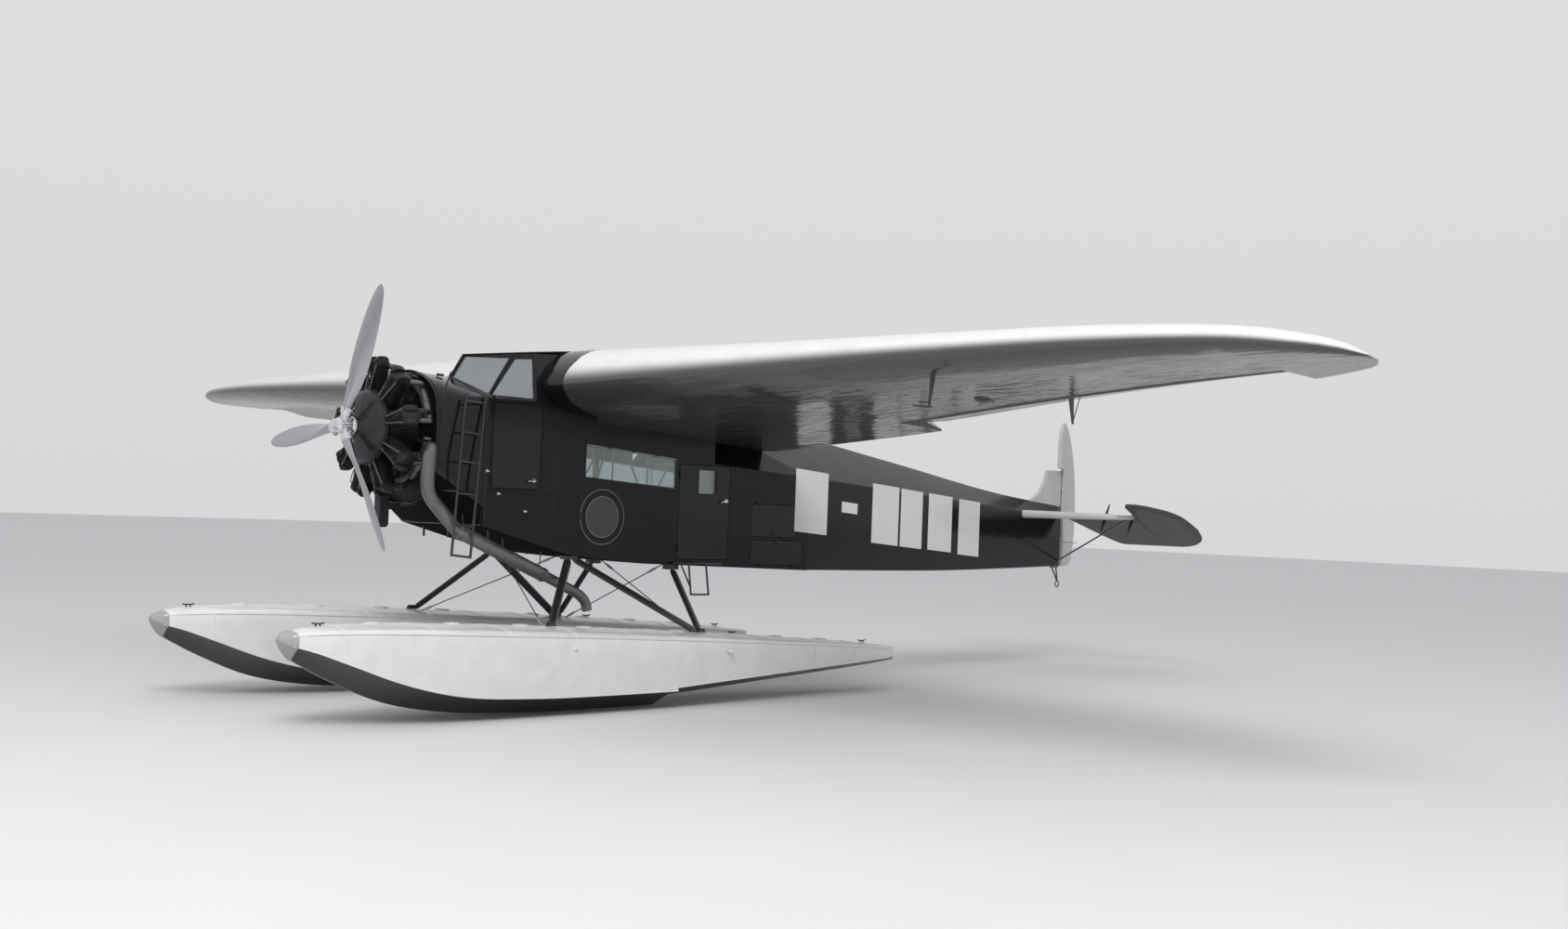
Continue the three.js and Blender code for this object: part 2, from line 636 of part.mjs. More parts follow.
// Rudder: distance behind the hinge, height
const RUDDER_OUTLINE = [
  [-300, 86], [-298, 330], [-245, 505], [-150, 620], [-10, 672], [180, 640], [420, 520],
  [660, 330], [850, 90], [960, -180], [1000, -450], [975, -720], [880, -930], [720, -1070],
  [520, -1120], [0, -1120], [0, 86],
];
const rudderLeaf = common(
  prism('x', -30, 30, RUDDER_OUTLINE),
  prism('z', -1300, 800, [
    [-16, -320], [-26, -250], [-26, 40], [-6, 1010], [6, 1010], [26, 40], [26, -250], [16, -320],
  ]),
);
const rudderFlat = join(rudderLeaf, rod([0, 0, -1120], [0, 0, 86], RUDDER_NOSE));
const rudderPoint = [0, RUDDER_Y, 0];
piece(
  'rudder',
  swing(rudderFlat.translate(...rudderPoint), rudderPoint, [0, 0, 1], RUDDER_REST),
  'light_grey',
);

// Tail struts, one each side, and the V of tubes under the stern with its mooring ring
const strutFoot = [30, 9890, -1065];
const strutHead = [1120, 9760, TAIL_Z - 34];
const tailStrut = bar(strutFoot, strutHead, oval(18, 36), [0, 1, 0]);
piece('tail_strut_port', cut(tailStrut, rearGrown, tailplane(GAP)), 'strut_black');
piece('tail_strut_starboard', cut(mirrored(tailStrut), rearGrown, tailplane(GAP)), 'strut_black');
const ringZ = -1343;
const mooringRing = turned(
  Array.from({ length: 9 }, (_, i) => {
    const t = (i * Math.PI) / 4;
    return [36 + 7 * Math.cos(t), 7 * Math.sin(t)];
  }),
  [0, 9962, ringZ],
  [1, 0, 0],
  20,
);
piece(
  'mooring_fitting',
  join(
    mooringRing,
    bar([0, 9840, -1132], [0, 9960, ringZ + 36], circle(9)),
    bar([0, 9930, -1130], [0, 9962, ringZ + 36], circle(9)),
    block([-18, 9820, -1140], [18, 9945, -1124.6]),
  ),
  'strut_black',
);

// Nose and cockpit

// The nose shell from the engine to the windscreen: rings of [x, z] corners for one half.
const NOSE_FRONT = 560;
const NOSE_CENTRE = -150; // height that the rings shrink toward
const SHEET = 14; // thickness of the shell
const NOSE_RINGS = [
  {
    y: NOSE_FRONT,
    corners: [
      [0, -640], [330, -590], [515, -400], [540, -120], [530, 150], [470, 320], [300, 450], [0, 515],
    ],
  },
  {
    y: 1000 - GAP,
    corners: [
      [0, -800], [560, -800], [640, -740], [640, -120], [640, 270], [600, 306], [365, 388], [0, 482],
    ],
  },
];
function noseBody(shrink, reach = 0) {
  const [front, back] = NOSE_RINGS.map(({ y, corners }) => {
    const half = corners.map(([x, z]) => {
      const size = Math.hypot(x, z - NOSE_CENTRE);
      const scale = (size - shrink) / size;
      return [x * scale, y, NOSE_CENTRE + (z - NOSE_CENTRE) * scale];
    });
    return [...half, ...half.slice(1, -1).reverse().map(([x, yy, z]) => [-x, yy, z])];
  });
  const moved = (ring, step) => ring.map(([x, y, z]) => [x, y + step, z]);
  return loft(reach ? [moved(front, -reach), front, back, moved(back, reach)] : [front, back]);
}
piece('nose_shell', cut(noseBody(0), noseBody(SHEET, 20)), 'black_gloss');
piece(
  'firewall',
  common(noseBody(SHEET + 2 * GAP), block([-700, FIREWALL, -900], [700, FIREWALL + 12, 600])),
  'bare_panel',
);

// Cockpit frame: a roofed box with a V-shaped front that leans back and in toward the top. `corners`
// are the plan corners of one half at the low height and at the high one.
const CANOPY = {
  low: SILL + 0.5,
  high: 700,
  corners: [
    { name: 'centre post', low: [0, 897], high: [0, 1146] },
    { name: 'pillar', low: [365, 1164], high: [365, 1413] },
    { name: 'rear edge of the side window', low: [630, 1500], high: [485, 1565] },
    { name: 'rear', low: [630, 1960], high: [485, 1960] },
  ],
};
const SLANT = 1.1; // a level cut through the leaning frame is this much thicker
const FRAME = 22; // thickness of the frame
const canopyTop = (y) => 700 + (y - 1150) * 0.1;

// Moves each side of a ring in the plan inward: the sides' lines are shifted and cut with each other.
function narrower(ring, distance) {
  const sides = ring.map(([x0, y0], i) => {
    const [x1, y1] = ring[(i + 1) % ring.length];
    const size = Math.hypot(x1 - x0, y1 - y0);
    const [nx, ny] = [(y0 - y1) / size, (x1 - x0) / size];
    return { nx, ny, reach: nx * x0 + ny * y0 + distance };
  });
  return sides.map((b, i) => {
    const a = sides[(i + ring.length - 1) % ring.length];
    const area = a.nx * b.ny - a.ny * b.nx;
    return [(a.reach * b.ny - b.reach * a.ny) / area, (a.nx * b.reach - b.nx * a.reach) / area];
  });
}
function canopyRing(z, shrink) {
  const t = (z - CANOPY.low) / (CANOPY.high - CANOPY.low);
  const half = CANOPY.corners.map(({ low, high }) => low.map((v, i) => v + (high[i] - v) * t));
  const other = half.slice(1).reverse().map(([x, y]) => [-x, y]);
  return narrower([...half, ...other], shrink * SLANT).map(([x, y]) => [x, y, z]);
}
function canopyBody(shrink) {
  const roof = prism('x', -900, 900, [
    [800, canopyTop(800) - shrink], [2100, canopyTop(2100) - shrink], [2100, 2000], [800, 2000],
  ]);
  return cut(loft([canopyRing(CANOPY.low - shrink * 2, shrink), canopyRing(900, shrink)]), roof);
}

// Cowl deck between the nose shell and the screen: height of its skin at each distance from the middle
const COWL_X = [0, 180, 365, 600, 636];
const COWL_RINGS = [
  { y: 1000 + GAP, heights: [482, 450, 388, 306, 292] },
  { y: 1185, heights: [375, 358, 319, 297, 292] },
  { y: 1500, heights: [294, 294, 294, 294, 292] },
];
function cowlBody(shrink) {
  const foot = CANOPY.low - shrink * 2;
  return loft(COWL_RINGS.map(({ y, heights }, i) => {
    const station = y + shrink * (i === 0 ? -1 : i - 1);
    const half = heights.map((z, k) => [COWL_X[k] - (k === 4 ? shrink : 0), station, z - shrink]);
    const other = half.slice(1).map(([x, yy, z]) => [-x, yy, z]).reverse();
    const edge = COWL_X[4] - shrink;
    return [...other, ...half, [edge, station, foot], [-edge, station, foot]].reverse();
  }));
}

// Window openings in the frame: outlines seen from ahead, and from the side
const POST_HALF = 16;
const frontPane = (sign) => prism('y', 900, 1500, [
  [sign * POST_HALF, 490], [sign * 347, 347], [sign * 349, 684], [sign * POST_HALF, 690],
]);
const sidePane = prism('x', 300, 800, [[1204, 340], [1426, 676], [1548, 684], [1487, 320]]);
const paneHoles = [frontPane(1), frontPane(-1), sidePane, mirrored(sidePane)];
piece(
  'cockpit_frame',
  cut(
    join(canopyBody(0), cowlBody(0)),
    canopyBody(FRAME),
    cowlBody(SHEET),
    block([-900, 0, -900], [900, 2100, CANOPY.low]),
    block([-900, 0, CANOPY.low], [900, 1000 + GAP, 900]),
    wingGrown,
    ...paneHoles,
  ),
  'black_gloss',
);

// Panes that lie in the middle of the frame's thickness
const PANE_LAYER = [8, 13]; // depth of a pane's two faces in the frame
const paneLayer = cut(...PANE_LAYER.map(canopyBody));
function pane(opening) {
  return common(paneLayer, opening);
}
piece('windscreen_port', pane(inset(frontPane(1))), 'glass');
piece('windscreen_starboard', pane(inset(frontPane(-1))), 'glass');
piece('side_window_port', pane(inset(sidePane)), 'glass');
piece('side_window_starboard', pane(mirrored(inset(sidePane))), 'glass');

// Shrinks an opening's outline by a small gap, about its own middle.
function inset(geometry) {
  geometry.computeBoundingBox();
  const size = geometry.boundingBox.getSize(new THREE.Vector3());
  const centre = geometry.boundingBox.getCenter(new THREE.Vector3());
  const scale = size.clone().subScalar(2 * GAP).divide(size);
  return geometry
    .clone()
    .translate(-centre.x, -centre.y, -centre.z)
    .scale(scale.x, scale.y, scale.z)
    .translate(centre.x, centre.y, centre.z);
}
function paneIn(outline) {
  return prism('x', SIDE_IN + PANE.depth, SIDE_IN + PANE.depth + PANE.thick, outline);
}
const cabinPane = inset(paneIn(CABIN_WINDOW));
piece('cabin_window_port', cabinPane, 'glass');
piece('cabin_window_starboard', mirrored(cabinPane), 'glass');
piece('cabin_window_starboard_rear', mirrored(inset(paneIn(REAR_WINDOW))), 'glass');

piece('instrument_panel', block([-inside, 1026, 60], [inside, 1046, SILL - 6]), 'engine_black');

// Two front seats and two bench seats stand on the floor
const floorAt = (y) => {
  const i = KEEL_LINE.findIndex(([v]) => v >= y);
  const [[y0, z0], [y1, z1]] = [KEEL_LINE[i - 1], KEEL_LINE[i]];
  return THREE.MathUtils.mapLinear(y, y0, y1, z0, z1) + FLOOR_THICK + 2 * GAP;
};
const SEAT = { depth: 430, hip: 370, backTop: 465, lean: 120, backThick: 70 };
const BENCH_BACK = 230; // the benches have low backs
function seat(x0, x1, y, height, backTop = SEAT.backTop) {
  const { depth, hip, lean, backThick } = SEAT;
  const top = height + backTop;
  return prism('x', x0, x1, [
    [y, floorAt(y)], [y + depth, floorAt(y + depth)], [y + depth, height - 60],
    [y + depth + lean, top - 5], [y + depth + lean - backThick, top + 5], [y + hip, height],
    [y, height],
  ]);
}
piece('pilot_seat_port', seat(90, 530, 1120, -370), 'seat_leather');
piece('pilot_seat_starboard', seat(-530, -90, 1120, -370), 'seat_leather');
piece('bench_seat_front', seat(-560, 560, 2280, -620, BENCH_BACK), 'seat_leather');
piece('bench_seat_rear', seat(-560, 560, 3345, -690, BENCH_BACK), 'seat_leather');

// Doors

const doors = new THREE.Group();
doors.name = 'doors';
aircraft.add(doors);
function door(outline, hinge, ...openings) {
  const leaf = cut(prism('x', SIDE_IN, CABIN_HALF, outline), ...openings.map(through));
  return join(leaf, ...knuckles(hinge, true));
}
const cockpitDoor = door(rectangle(COCKPIT_DOOR), HINGES.cockpit);
piece('cockpit_door_port', cockpitDoor, 'black_gloss', doors);
piece('cockpit_door_starboard', mirrored(cockpitDoor), 'black_gloss', doors);
piece(
  'cabin_door',
  door(rectangle(CABIN_DOOR), HINGES.cabin, rectangle(DOOR_WINDOW)),
  'black_gloss',
  doors,
);
piece('cabin_door_window', paneIn(rectangle(DOOR_WINDOW, -GAP)), 'glass', doors);
piece('baggage_door_upper', door(rectangle(BAGGAGE_UPPER), HINGES.upper), 'black_gloss', doors);
piece('baggage_door_lower', door(rectangle(BAGGAGE_LOWER), HINGES.lower), 'black_gloss', doors);

// Engine

const engine = new THREE.Group();
engine.name = 'engine';
aircraft.add(engine);
const CYLINDER_Y = 312; // station of the cylinder row
const BLOCK_RADIUS = 240; // flat of the crankcase that carries the cylinders
const HUB_BACK = 86; // station of the propeller hub's back
const ORIGIN = [0, 0, 0];
const SPIN = [0, 1, 0]; // direction of the propeller axis
// Radius and station of each corner: a boss behind the hub, the dome, the flat and the rear flange
const CASE_PROFILE = [
  [0, HUB_BACK + GAP], [44, HUB_BACK + GAP], [44, 92], [95, 92], [120, 104], [210, 120],
  [285, 154], [320, 198], [320, 224], [BLOCK_RADIUS, 229], [BLOCK_RADIUS, 488], [280, 498],
  [280, 545], [210, 560], [210, FIREWALL - GAP], [0, FIREWALL - GAP],
];
piece('crankcase', turned(CASE_PROFILE, ORIGIN, SPIN, 36), 'case_grey', engine);

// The same form once for every cylinder, turned round the propeller axis.
function forEachCylinder(form) {
  return Array.from({ length: CYLINDER_COUNT }, (_, i) => {
    return swing(form, ORIGIN, SPIN, (360 * i) / CYLINDER_COUNT);
  });
}
// One cylinder standing on the crankcase: a finned barrel under a wider finned head with two
// rocker boxes, made pointing up and then turned to its place. A belt joins the nine feet.
const FINS = [
  { start: 262, end: 430, root: 62, tip: 82 },
  { start: 446, end: 572, root: 66, tip: 90 },
];
const FIN_PITCH = 42;
const FIN_THICK = 12;
const HEAD_RADIUS = FINS[1].tip;
const HEAD_TOP = 580;
const ROCKER_BOX = { out: 56, half: 24, front: 70, back: 46, low: 526 };
function cylinder() {
  const profile = [[0, BLOCK_RADIUS + 6], [FINS[0].root, BLOCK_RADIUS + 6]];
  for (const { start, end, root, tip } of FINS) {
    for (let r = start; r < end; r += FIN_PITCH) {
      profile.push([root, r], [tip, r + FIN_THICK], [tip, r + 2 * FIN_THICK]);
    }
    profile.push([root, end]);
  }
  profile.push([52, HEAD_TOP], [0, HEAD_TOP]);
  const barrel = turned(profile, [0, CYLINDER_Y, 0], [0, 0, 1], MID_SIDES);
  const { out, half, front, back, low } = ROCKER_BOX;
  const boxes = [-out, out].map((x) => {
    return block([x - half, CYLINDER_Y - front, low], [x + half, CYLINDER_Y + back, CYLINDER_RADIUS]);
  });
  return join(barrel, ...boxes);
}
const BELT = { low: BLOCK_RADIUS + GAP, high: BLOCK_RADIUS + 14, half: 58 };
const belt = turned(
  [
    [BELT.low, -BELT.half], [BELT.high, -BELT.half], [BELT.high, BELT.half], [BELT.low, BELT.half],
    [BELT.low, -BELT.half],
  ],
  [0, CYLINDER_Y, 0],
  SPIN,
  36,
);
piece('cylinder_row', join(belt, ...forEachCylinder(cylinder())), 'engine_black', engine);
// Intake scoop under the two lowest cylinders, held by the nose shell's front edge
piece(
  'intake_scoop',
  join(
    block([-45, 350, -842], [45, 440, -560]),
    block([-35, 430, -690], [35, NOSE_FRONT - GAP, -630]),
  ),
  'engine_black',
  engine,
);

// Exhaust: a collector behind the cylinders, a pipe down the port side, and a fat heater sleeve
// The collector starts below the pipe's mouth and runs round to just above it.
const COLLECTOR = { radius: 455, y: 536, tube: 38, from: 104, sweep: 340, steps: 22, sides: 10 };
const ringPath = Array.from({ length: COLLECTOR.steps + 1 }, (_, i) => {
  const t = rad(COLLECTOR.from + (i * COLLECTOR.sweep) / COLLECTOR.steps);
  return [COLLECTOR.radius * Math.sin(t), COLLECTOR.y, COLLECTOR.radius * Math.cos(t)];
});
const collectorRing = (grow) => bentRod(ringPath, COLLECTOR.tube + grow, COLLECTOR.sides);
// A stub from the back of each cylinder head leads into the collector.
const roomRadius = HEAD_RADIUS + 2 * GAP;
const headRoom = turned(
  [[0, 440], [roomRadius, 440], [roomRadius, 620], [0, 620]],
  [0, CYLINDER_Y, 0],
  [0, 0, 1],
  MID_SIDES,
);
const STUB_PATH = [[30, 352, 526], [30, 440, 526], [28, 512, 514], [20, 534, 470]];
const stub = cut(bentRod(STUB_PATH, [22, 22, 22, 24], THIN_SIDES), headRoom);
piece('exhaust_collector', join(collectorRing(0), ...forEachCylinder(stub)), 'exhaust_steel', engine);
const PIPE_PATH = [
  [428, COLLECTOR.y, -156], [560, 498, -152], [636, 456, -186], [668, 420, -260],
  [670, 412, -440], [664, 450, -570], [672, 575, -705], [690, 700, -838],
];
const PIPE_RADII = [34, 46, 54, 58, 58, 58, 58, 56];
const TAIL_RADIUS = 46;
const SLEEVE = { from: [690, 716, -846], to: [640, 1660, -1222], radius: 60 };
const TAIL_PATH = [[622, 1960, -1345], [612, 2075, -1400], [606, 2140, -1460], [604, 2165, -1530]];
piece(
  'exhaust_pipe',
  cut(
    join(
      bentRod(PIPE_PATH, PIPE_RADII),
      rod([686, 690, -832], SLEEVE.from, TAIL_RADIUS),
      rod(SLEEVE.from, SLEEVE.to, SLEEVE.radius, SLEEVE.radius, 16),
      bentRod([SLEEVE.to, ...TAIL_PATH], TAIL_RADIUS),
    ),
    collectorRing(GAP),
  ),
  'exhaust_steel',
  engine,
);

// Propeller, turned to where it has stopped
const PROPELLER_REST = 24; // degrees from straight up toward port
const propeller = new THREE.Group();
propeller.name = 'propeller';
aircraft.add(propeller);
const BLADE_ANGLES = [0, 120, 240].map((a) => a + PROPELLER_REST);
const BLADE_ROOT = 165; // distance from the axis where a blade leaves its socket
// Radius and station of the hub's corners, from its flat nose to its back flange
const HUB_PROFILE = [
  [0, -112], [34, -112], [46, -96], [58, -60], [66, -52], [66, 52], [80, 60], [80, HUB_BACK],
  [0, HUB_BACK],
];
const armEnd = [0, 0, BLADE_ROOT - GAP];
const hubArm = join(rod(ORIGIN, armEnd, 46, 46, 14), rod([0, 0, 118], armEnd, 56, 56, 14));
const onEachBlade = (form) => BLADE_ANGLES.map((a) => swing(form, ORIGIN, SPIN, a));
piece(
  'propeller_hub',
  join(turned(HUB_PROFILE, ORIGIN, SPIN, 20), ...onEachBlade(hubArm)),
  'polished',
  propeller,
);
// Blade stations: distance from the axis, chord, thickness, pitch in degrees
const BLADE_STATIONS = [
  { r: BLADE_ROOT, chord: 84, thick: 80, pitch: 34 },
  { r: 250, chord: 98, thick: 66, pitch: 32 },
  { r: 380, chord: 138, thick: 40, pitch: 29 },
  { r: 560, chord: 178, thick: 28, pitch: 25 },
  { r: 760, chord: 190, thick: 21, pitch: 20 },
  { r: 960, chord: 172, thick: 15, pitch: 17 },
  { r: 1090, chord: 140, thick: 11, pitch: 16 },
  { r: 1180, chord: 104, thick: 8, pitch: 14 },
  { r: 1230, chord: 66, thick: 6, pitch: 13 },
  { r: BLADE_RADIUS, chord: 24, thick: 5, pitch: 13 },
];
const BLADE_SECTION = [
  [-0.5, 0], [-0.42, 0.42], [-0.2, 0.68], [0.05, 0.66], [0.3, 0.4], [0.5, 0],
  [0.3, -0.26], [0.05, -0.34], [-0.2, -0.34], [-0.42, -0.22],
];
const bladePlain = loft(BLADE_STATIONS.map(({ r, chord, thick, pitch }) => {
  const c = Math.cos(rad(pitch));
  const q = Math.sin(rad(pitch));
  return BLADE_SECTION.map(([u, v]) => {
    return [u * chord * c + v * thick * q, u * chord * q - v * thick * c, r];
  });
}));
onEachBlade(bladePlain).forEach((blade, i) => {
  piece(`propeller_blade_${i + 1}`, blade, 'polished', propeller);
});

// Floats

// Float stations: height of keel, chine, side top, deck edge and deck middle, and the half width at
// the chine, at the side top and at the deck edge. Two stations close together make the step.
const FLOAT_COLUMNS = ['y', 'keel', 'chine', 'side', 'edge', 'crown', 'beam', 'top', 'rim'];
const FLOAT_STATIONS = [
  [-1075, -1712, -1690, -1672, -1660, -1655, 34, 34, 20],
  [-1020, -1790, -1712, -1662, -1632, -1622, 96, 96, 62],
  [-880, -1880, -1752, -1650, -1606, -1590, 170, 172, 126],
  [-620, -2010, -1850, -1648, -1592, -1572, 250, 254, 198],
  [-200, -2178, -2005, -1656, -1590, -1566, 326, 330, 262],
  [300, -2276, -2120, -1672, -1604, -1578, 362, 366, 292],
  [1000, -2324, -2168, -1700, -1630, -1604, 372, 376, 300],
  [1600, -2335, -2178, -1724, -1656, -1630, 372, 376, 300],
  [2540, -2335, -2180, -1766, -1700, -1676, 360, 366, 292],
  [2552, -2268, -2150, -1766, -1700, -1676, 356, 366, 292],
  [4100, -2160, -2070, -1848, -1796, -1774, 262, 270, 214],
  [5350, -2072, -2018, -1918, -1882, -1866, 120, 124, 96],
  [5690, -2040, -2010, -1950, -1916, -1906, 44, 44, 32],
].map((row) => Object.fromEntries(FLOAT_COLUMNS.map((name, i) => [name, row[i]])));
function floatRing(s) {
  const half = [[s.beam, s.chine], [s.top, s.side], [s.rim, s.edge]];
  const left = half.map(([x, z]) => [FLOAT_X - x, s.y, z]).reverse();
  const foot = Math.min(KEEL_HALF, s.beam / 4);
  return [
    [FLOAT_X - foot, s.y, s.keel],
    [FLOAT_X + foot, s.y, s.keel],
    ...half.map(([x, z]) => [FLOAT_X + x, s.y, z]),
    [FLOAT_X, s.y, s.crown],
    ...left,
  ];
}
const floatBody = loft(FLOAT_STATIONS.map(floatRing));
piece('float_port', floatBody, 'float_white');
piece('float_starboard', mirrored(floatBody), 'float_white');

// Float struts on the port side: front foot, rear foot, and the two fittings under the cabin
const STRUT_FRONT_Y = 1410;
const STRUT_REAR_Y = 3100;
const FOOT_FRONT = [FLOAT_X - 10, STRUT_FRONT_Y, -1640];
const FOOT_REAR = [FLOAT_X - 10, STRUT_REAR_Y, -1728];
const HEAD_FRONT = [590, 1950, -1048];
const HEAD_REAR = [590, 3140, -1128];
const STRUT = oval(74, 34);
const STRUT_OVERRUN = 60; // each strut is made longer by this and then cut at what it meets
const belly = prism('x', -700, 700, [
  [1000, -700], ...KEEL_LINE.map(([y, z]) => [y, z - GAP]), [CABIN_AFT, -700],
]);
const floatDeck = loft(FLOAT_STATIONS.map((s) => floatRing({
  ...s,
  crown: s.crown + GAP,
  edge: s.edge + GAP,
  side: s.side + GAP,
})));
function floatStruts() {
  const reach = (from, to) => {
    const a = new THREE.Vector3(...from);
    const b = new THREE.Vector3(...to);
    const step = b.clone().sub(a).normalize().multiplyScalar(STRUT_OVERRUN);
    return bar(a.clone().sub(step).toArray(), b.clone().add(step).toArray(), STRUT, [1, 0, 0]);
  };
  return cut(
    join(
      reach(FOOT_FRONT, HEAD_FRONT),
      reach(FOOT_REAR, HEAD_FRONT),
      reach(FOOT_REAR, HEAD_REAR),
      block([545, 1880, -1080], [635, 2020, -1040]),
      block([545, 3080, -1160], [635, 3200, -1110]),
    ),
    belly,
    floatDeck,
  );
}
const struts = floatStruts();
piece('float_struts_port', struts, 'strut_black');
piece('float_struts_starboard', mirrored(struts), 'strut_black');

// Two bars that hold the floats apart, cut at the floats' inner sides
const BAR_Z = -1890;
const floatSide = loft(FLOAT_STATIONS.map((s) => floatRing({
  ...s,
  beam: s.beam + GAP,
  top: s.top + GAP,
})));
for (const [name, y] of [['front', STRUT_FRONT_Y], ['rear', STRUT_REAR_Y]]) {
  const spreader = bar([-820, y, BAR_Z], [820, y, BAR_Z], oval(80, 40), [0, 0, 1]);
  piece(`spreader_bar_${name}`, cut(spreader, floatSide, mirrored(floatSide)), 'strut_black');
}

// Crossed stay wires in the planes of the front and rear fittings
const STAYS = [['front', FOOT_FRONT, HEAD_FRONT], ['rear', FOOT_REAR, HEAD_REAR]];
for (const [name, foot, head] of STAYS) {
  const low = [foot[0] - 95, foot[1], foot[2] - 10];
  const high = [90 - head[0], head[1], head[2] + 20];
  const wire = rod(low, high, 5, 5, 6);
  piece(
    `stay_wires_${name}`,
    cut(join(wire, mirrored(wire)), belly, floatDeck, mirrored(floatDeck)),
    'strut_black',
  );
}

// Ladder in front of the windscreen: front and rear rail from top to bottom, and the rungs
const RAIL_FRONT = [[668, 755, 305], [802, 588, -1052]];
const RAIL_REAR = [[668, 950, 298], [802, 772, -1070]];
const RUNGS = [0.045, 0.24, 0.42, 0.615, 0.81, 0.993];
const between = (a, b, t) => a.map((v, i) => v + (b[i] - v) * t);
const railBrackets = [0.1, 0.6].flatMap((t) => [RAIL_FRONT, RAIL_REAR].map((rail) => {
  const p = between(...rail, t);
  return thinRod(p, [500, p[1], p[2]], 9);
}));
const rungs = RUNGS.map((t) => thinRod(between(...RAIL_FRONT, t), between(...RAIL_REAR, t), 10));
const rails = [RAIL_FRONT, RAIL_REAR].map((rail) => thinRod(...rail, 12));
piece(
  'boarding_ladder',
  cut(join(...rails, ...rungs, ...railBrackets), noseBody(-GAP, 40)),
  'strut_black',
);

// Step under the cabin door
const STEP_X = 672;
// Both ends of each tube and its radius: a rail, its two brackets, two posts, the tread and a brace
const STEP_TUBES = [
  { from: [STEP_X, 3095, -1098], to: [STEP_X, 3700, -1104], radius: 10 },
  { from: [STEP_X, 3110, -1098], to: [560, 3110, -1085], radius: 9 },
  { from: [STEP_X, 3685, -1104], to: [560, 3685, -1090], radius: 9 },
  { from: [STEP_X, 3292, -1100], to: [STEP_X, 3334, -1392], radius: 10 },
  { from: [STEP_X, 3508, -1102], to: [STEP_X, 3556, -1396], radius: 10 },
  { from: [STEP_X, 3330, -1392], to: [STEP_X, 3560, -1394], radius: 10 },
  { from: [STEP_X, 3190, -1099], to: [STEP_X, 3325, -1325], radius: 8 },
];
const besideCabin = block(
  [-CABIN_HALF - GAP, 1000, -1400],
  [CABIN_HALF + GAP, 5000, 200],
);
const stepTubes = STEP_TUBES.map(({ from, to, radius }) => thinRod(from, to, radius));
piece('cabin_step', cut(join(...stepTubes), besideCabin), 'strut_black');

// Move everything so that the keels stand at height zero and the middle lies at Y = 0
aircraft.traverse((item) => {
  if (!item.isMesh) return;
  item.geometry.translate(0, -MIDDLE_STATION, HUB_HEIGHT);
  item.geometry.computeVertexNormals();
});

export default aircraft;
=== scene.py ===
# %% [markdown]
# # A cabin floatplane dressed over its measured frame
#
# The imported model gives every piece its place. This file gives the pieces their looks: smooth
# skins over the faceted solids, paint, seams, fins, tubes and wires. All lengths below are typed in
# millimetres, counted as the source does it: X to port, stations aft of the propeller hub, heights
# above its axis. One function turns them into metres in the model's own frame. Only the floor, the
# lamp and the camera at the end are placed in metres.

import json
import math

import bpy
import numpy as np
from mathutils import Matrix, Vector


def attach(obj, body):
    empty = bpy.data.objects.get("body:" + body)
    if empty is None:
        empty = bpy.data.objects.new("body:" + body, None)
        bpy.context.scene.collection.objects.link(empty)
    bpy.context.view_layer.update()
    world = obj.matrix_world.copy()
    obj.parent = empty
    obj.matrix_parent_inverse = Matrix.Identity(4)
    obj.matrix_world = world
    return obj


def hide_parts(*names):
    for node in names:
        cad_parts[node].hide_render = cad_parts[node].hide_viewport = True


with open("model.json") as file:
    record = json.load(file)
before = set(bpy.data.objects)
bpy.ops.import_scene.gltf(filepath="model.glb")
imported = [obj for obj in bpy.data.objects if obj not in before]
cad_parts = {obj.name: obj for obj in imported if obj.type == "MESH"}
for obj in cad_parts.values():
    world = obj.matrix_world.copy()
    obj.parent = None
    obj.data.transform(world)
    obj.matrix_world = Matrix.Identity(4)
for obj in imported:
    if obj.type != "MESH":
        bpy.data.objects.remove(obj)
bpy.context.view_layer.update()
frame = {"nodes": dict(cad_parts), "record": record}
nodes = frame["nodes"]

MIDDLE_STATION = 4914.4
HUB_HEIGHT = 2335.0


def place(points):
    """Model frame in metres = (x, station - middle station, height + hub height) / 1000."""
    p = np.asarray(points, float).reshape(-1, 3)
    return (p + [0.0, -MIDDLE_STATION, HUB_HEIGHT]) / 1000.0


# %% [markdown]
# ## Forms
#
# Each form below is a pair: an array of corners and a list of faces. A pile gathers many forms into
# one mesh, so that a hundred rivets are still a single piece.

# %%
def loft(rings, closed=True, caps=True):
    """Skin through m rings of n corners: corner i of ring r meets corner i of ring r + 1."""
    rings = np.asarray(rings, float)
    m, n = rings.shape[:2]
    steps = n if closed else n - 1
    faces = []
    for r in range(m - 1):
        for i in range(steps):
            j = (i + 1) % n
            faces.append((r * n + i, r * n + j, (r + 1) * n + j, (r + 1) * n + i))
    if closed and caps:
        faces.append(tuple(range(n))[::-1])
        faces.append(tuple(range((m - 1) * n, m * n)))
    return rings.reshape(-1, 3), faces


def strip(rings, corners):
    """The part of every ring that runs over the given corners, as an open skin with capped ends."""
    form, faces = loft([[ring[i] for i in corners] for ring in rings], closed=False)
    n = len(corners)
    return form, faces + [tuple(range(n))[::-1], tuple(range(len(form) - n, len(form)))]


def circle(sides):
    """Unit circle as (cosine, sine) pairs."""
    t = np.arange(sides) * 2 * math.pi / sides
    return np.stack([np.cos(t), np.sin(t)], 1)


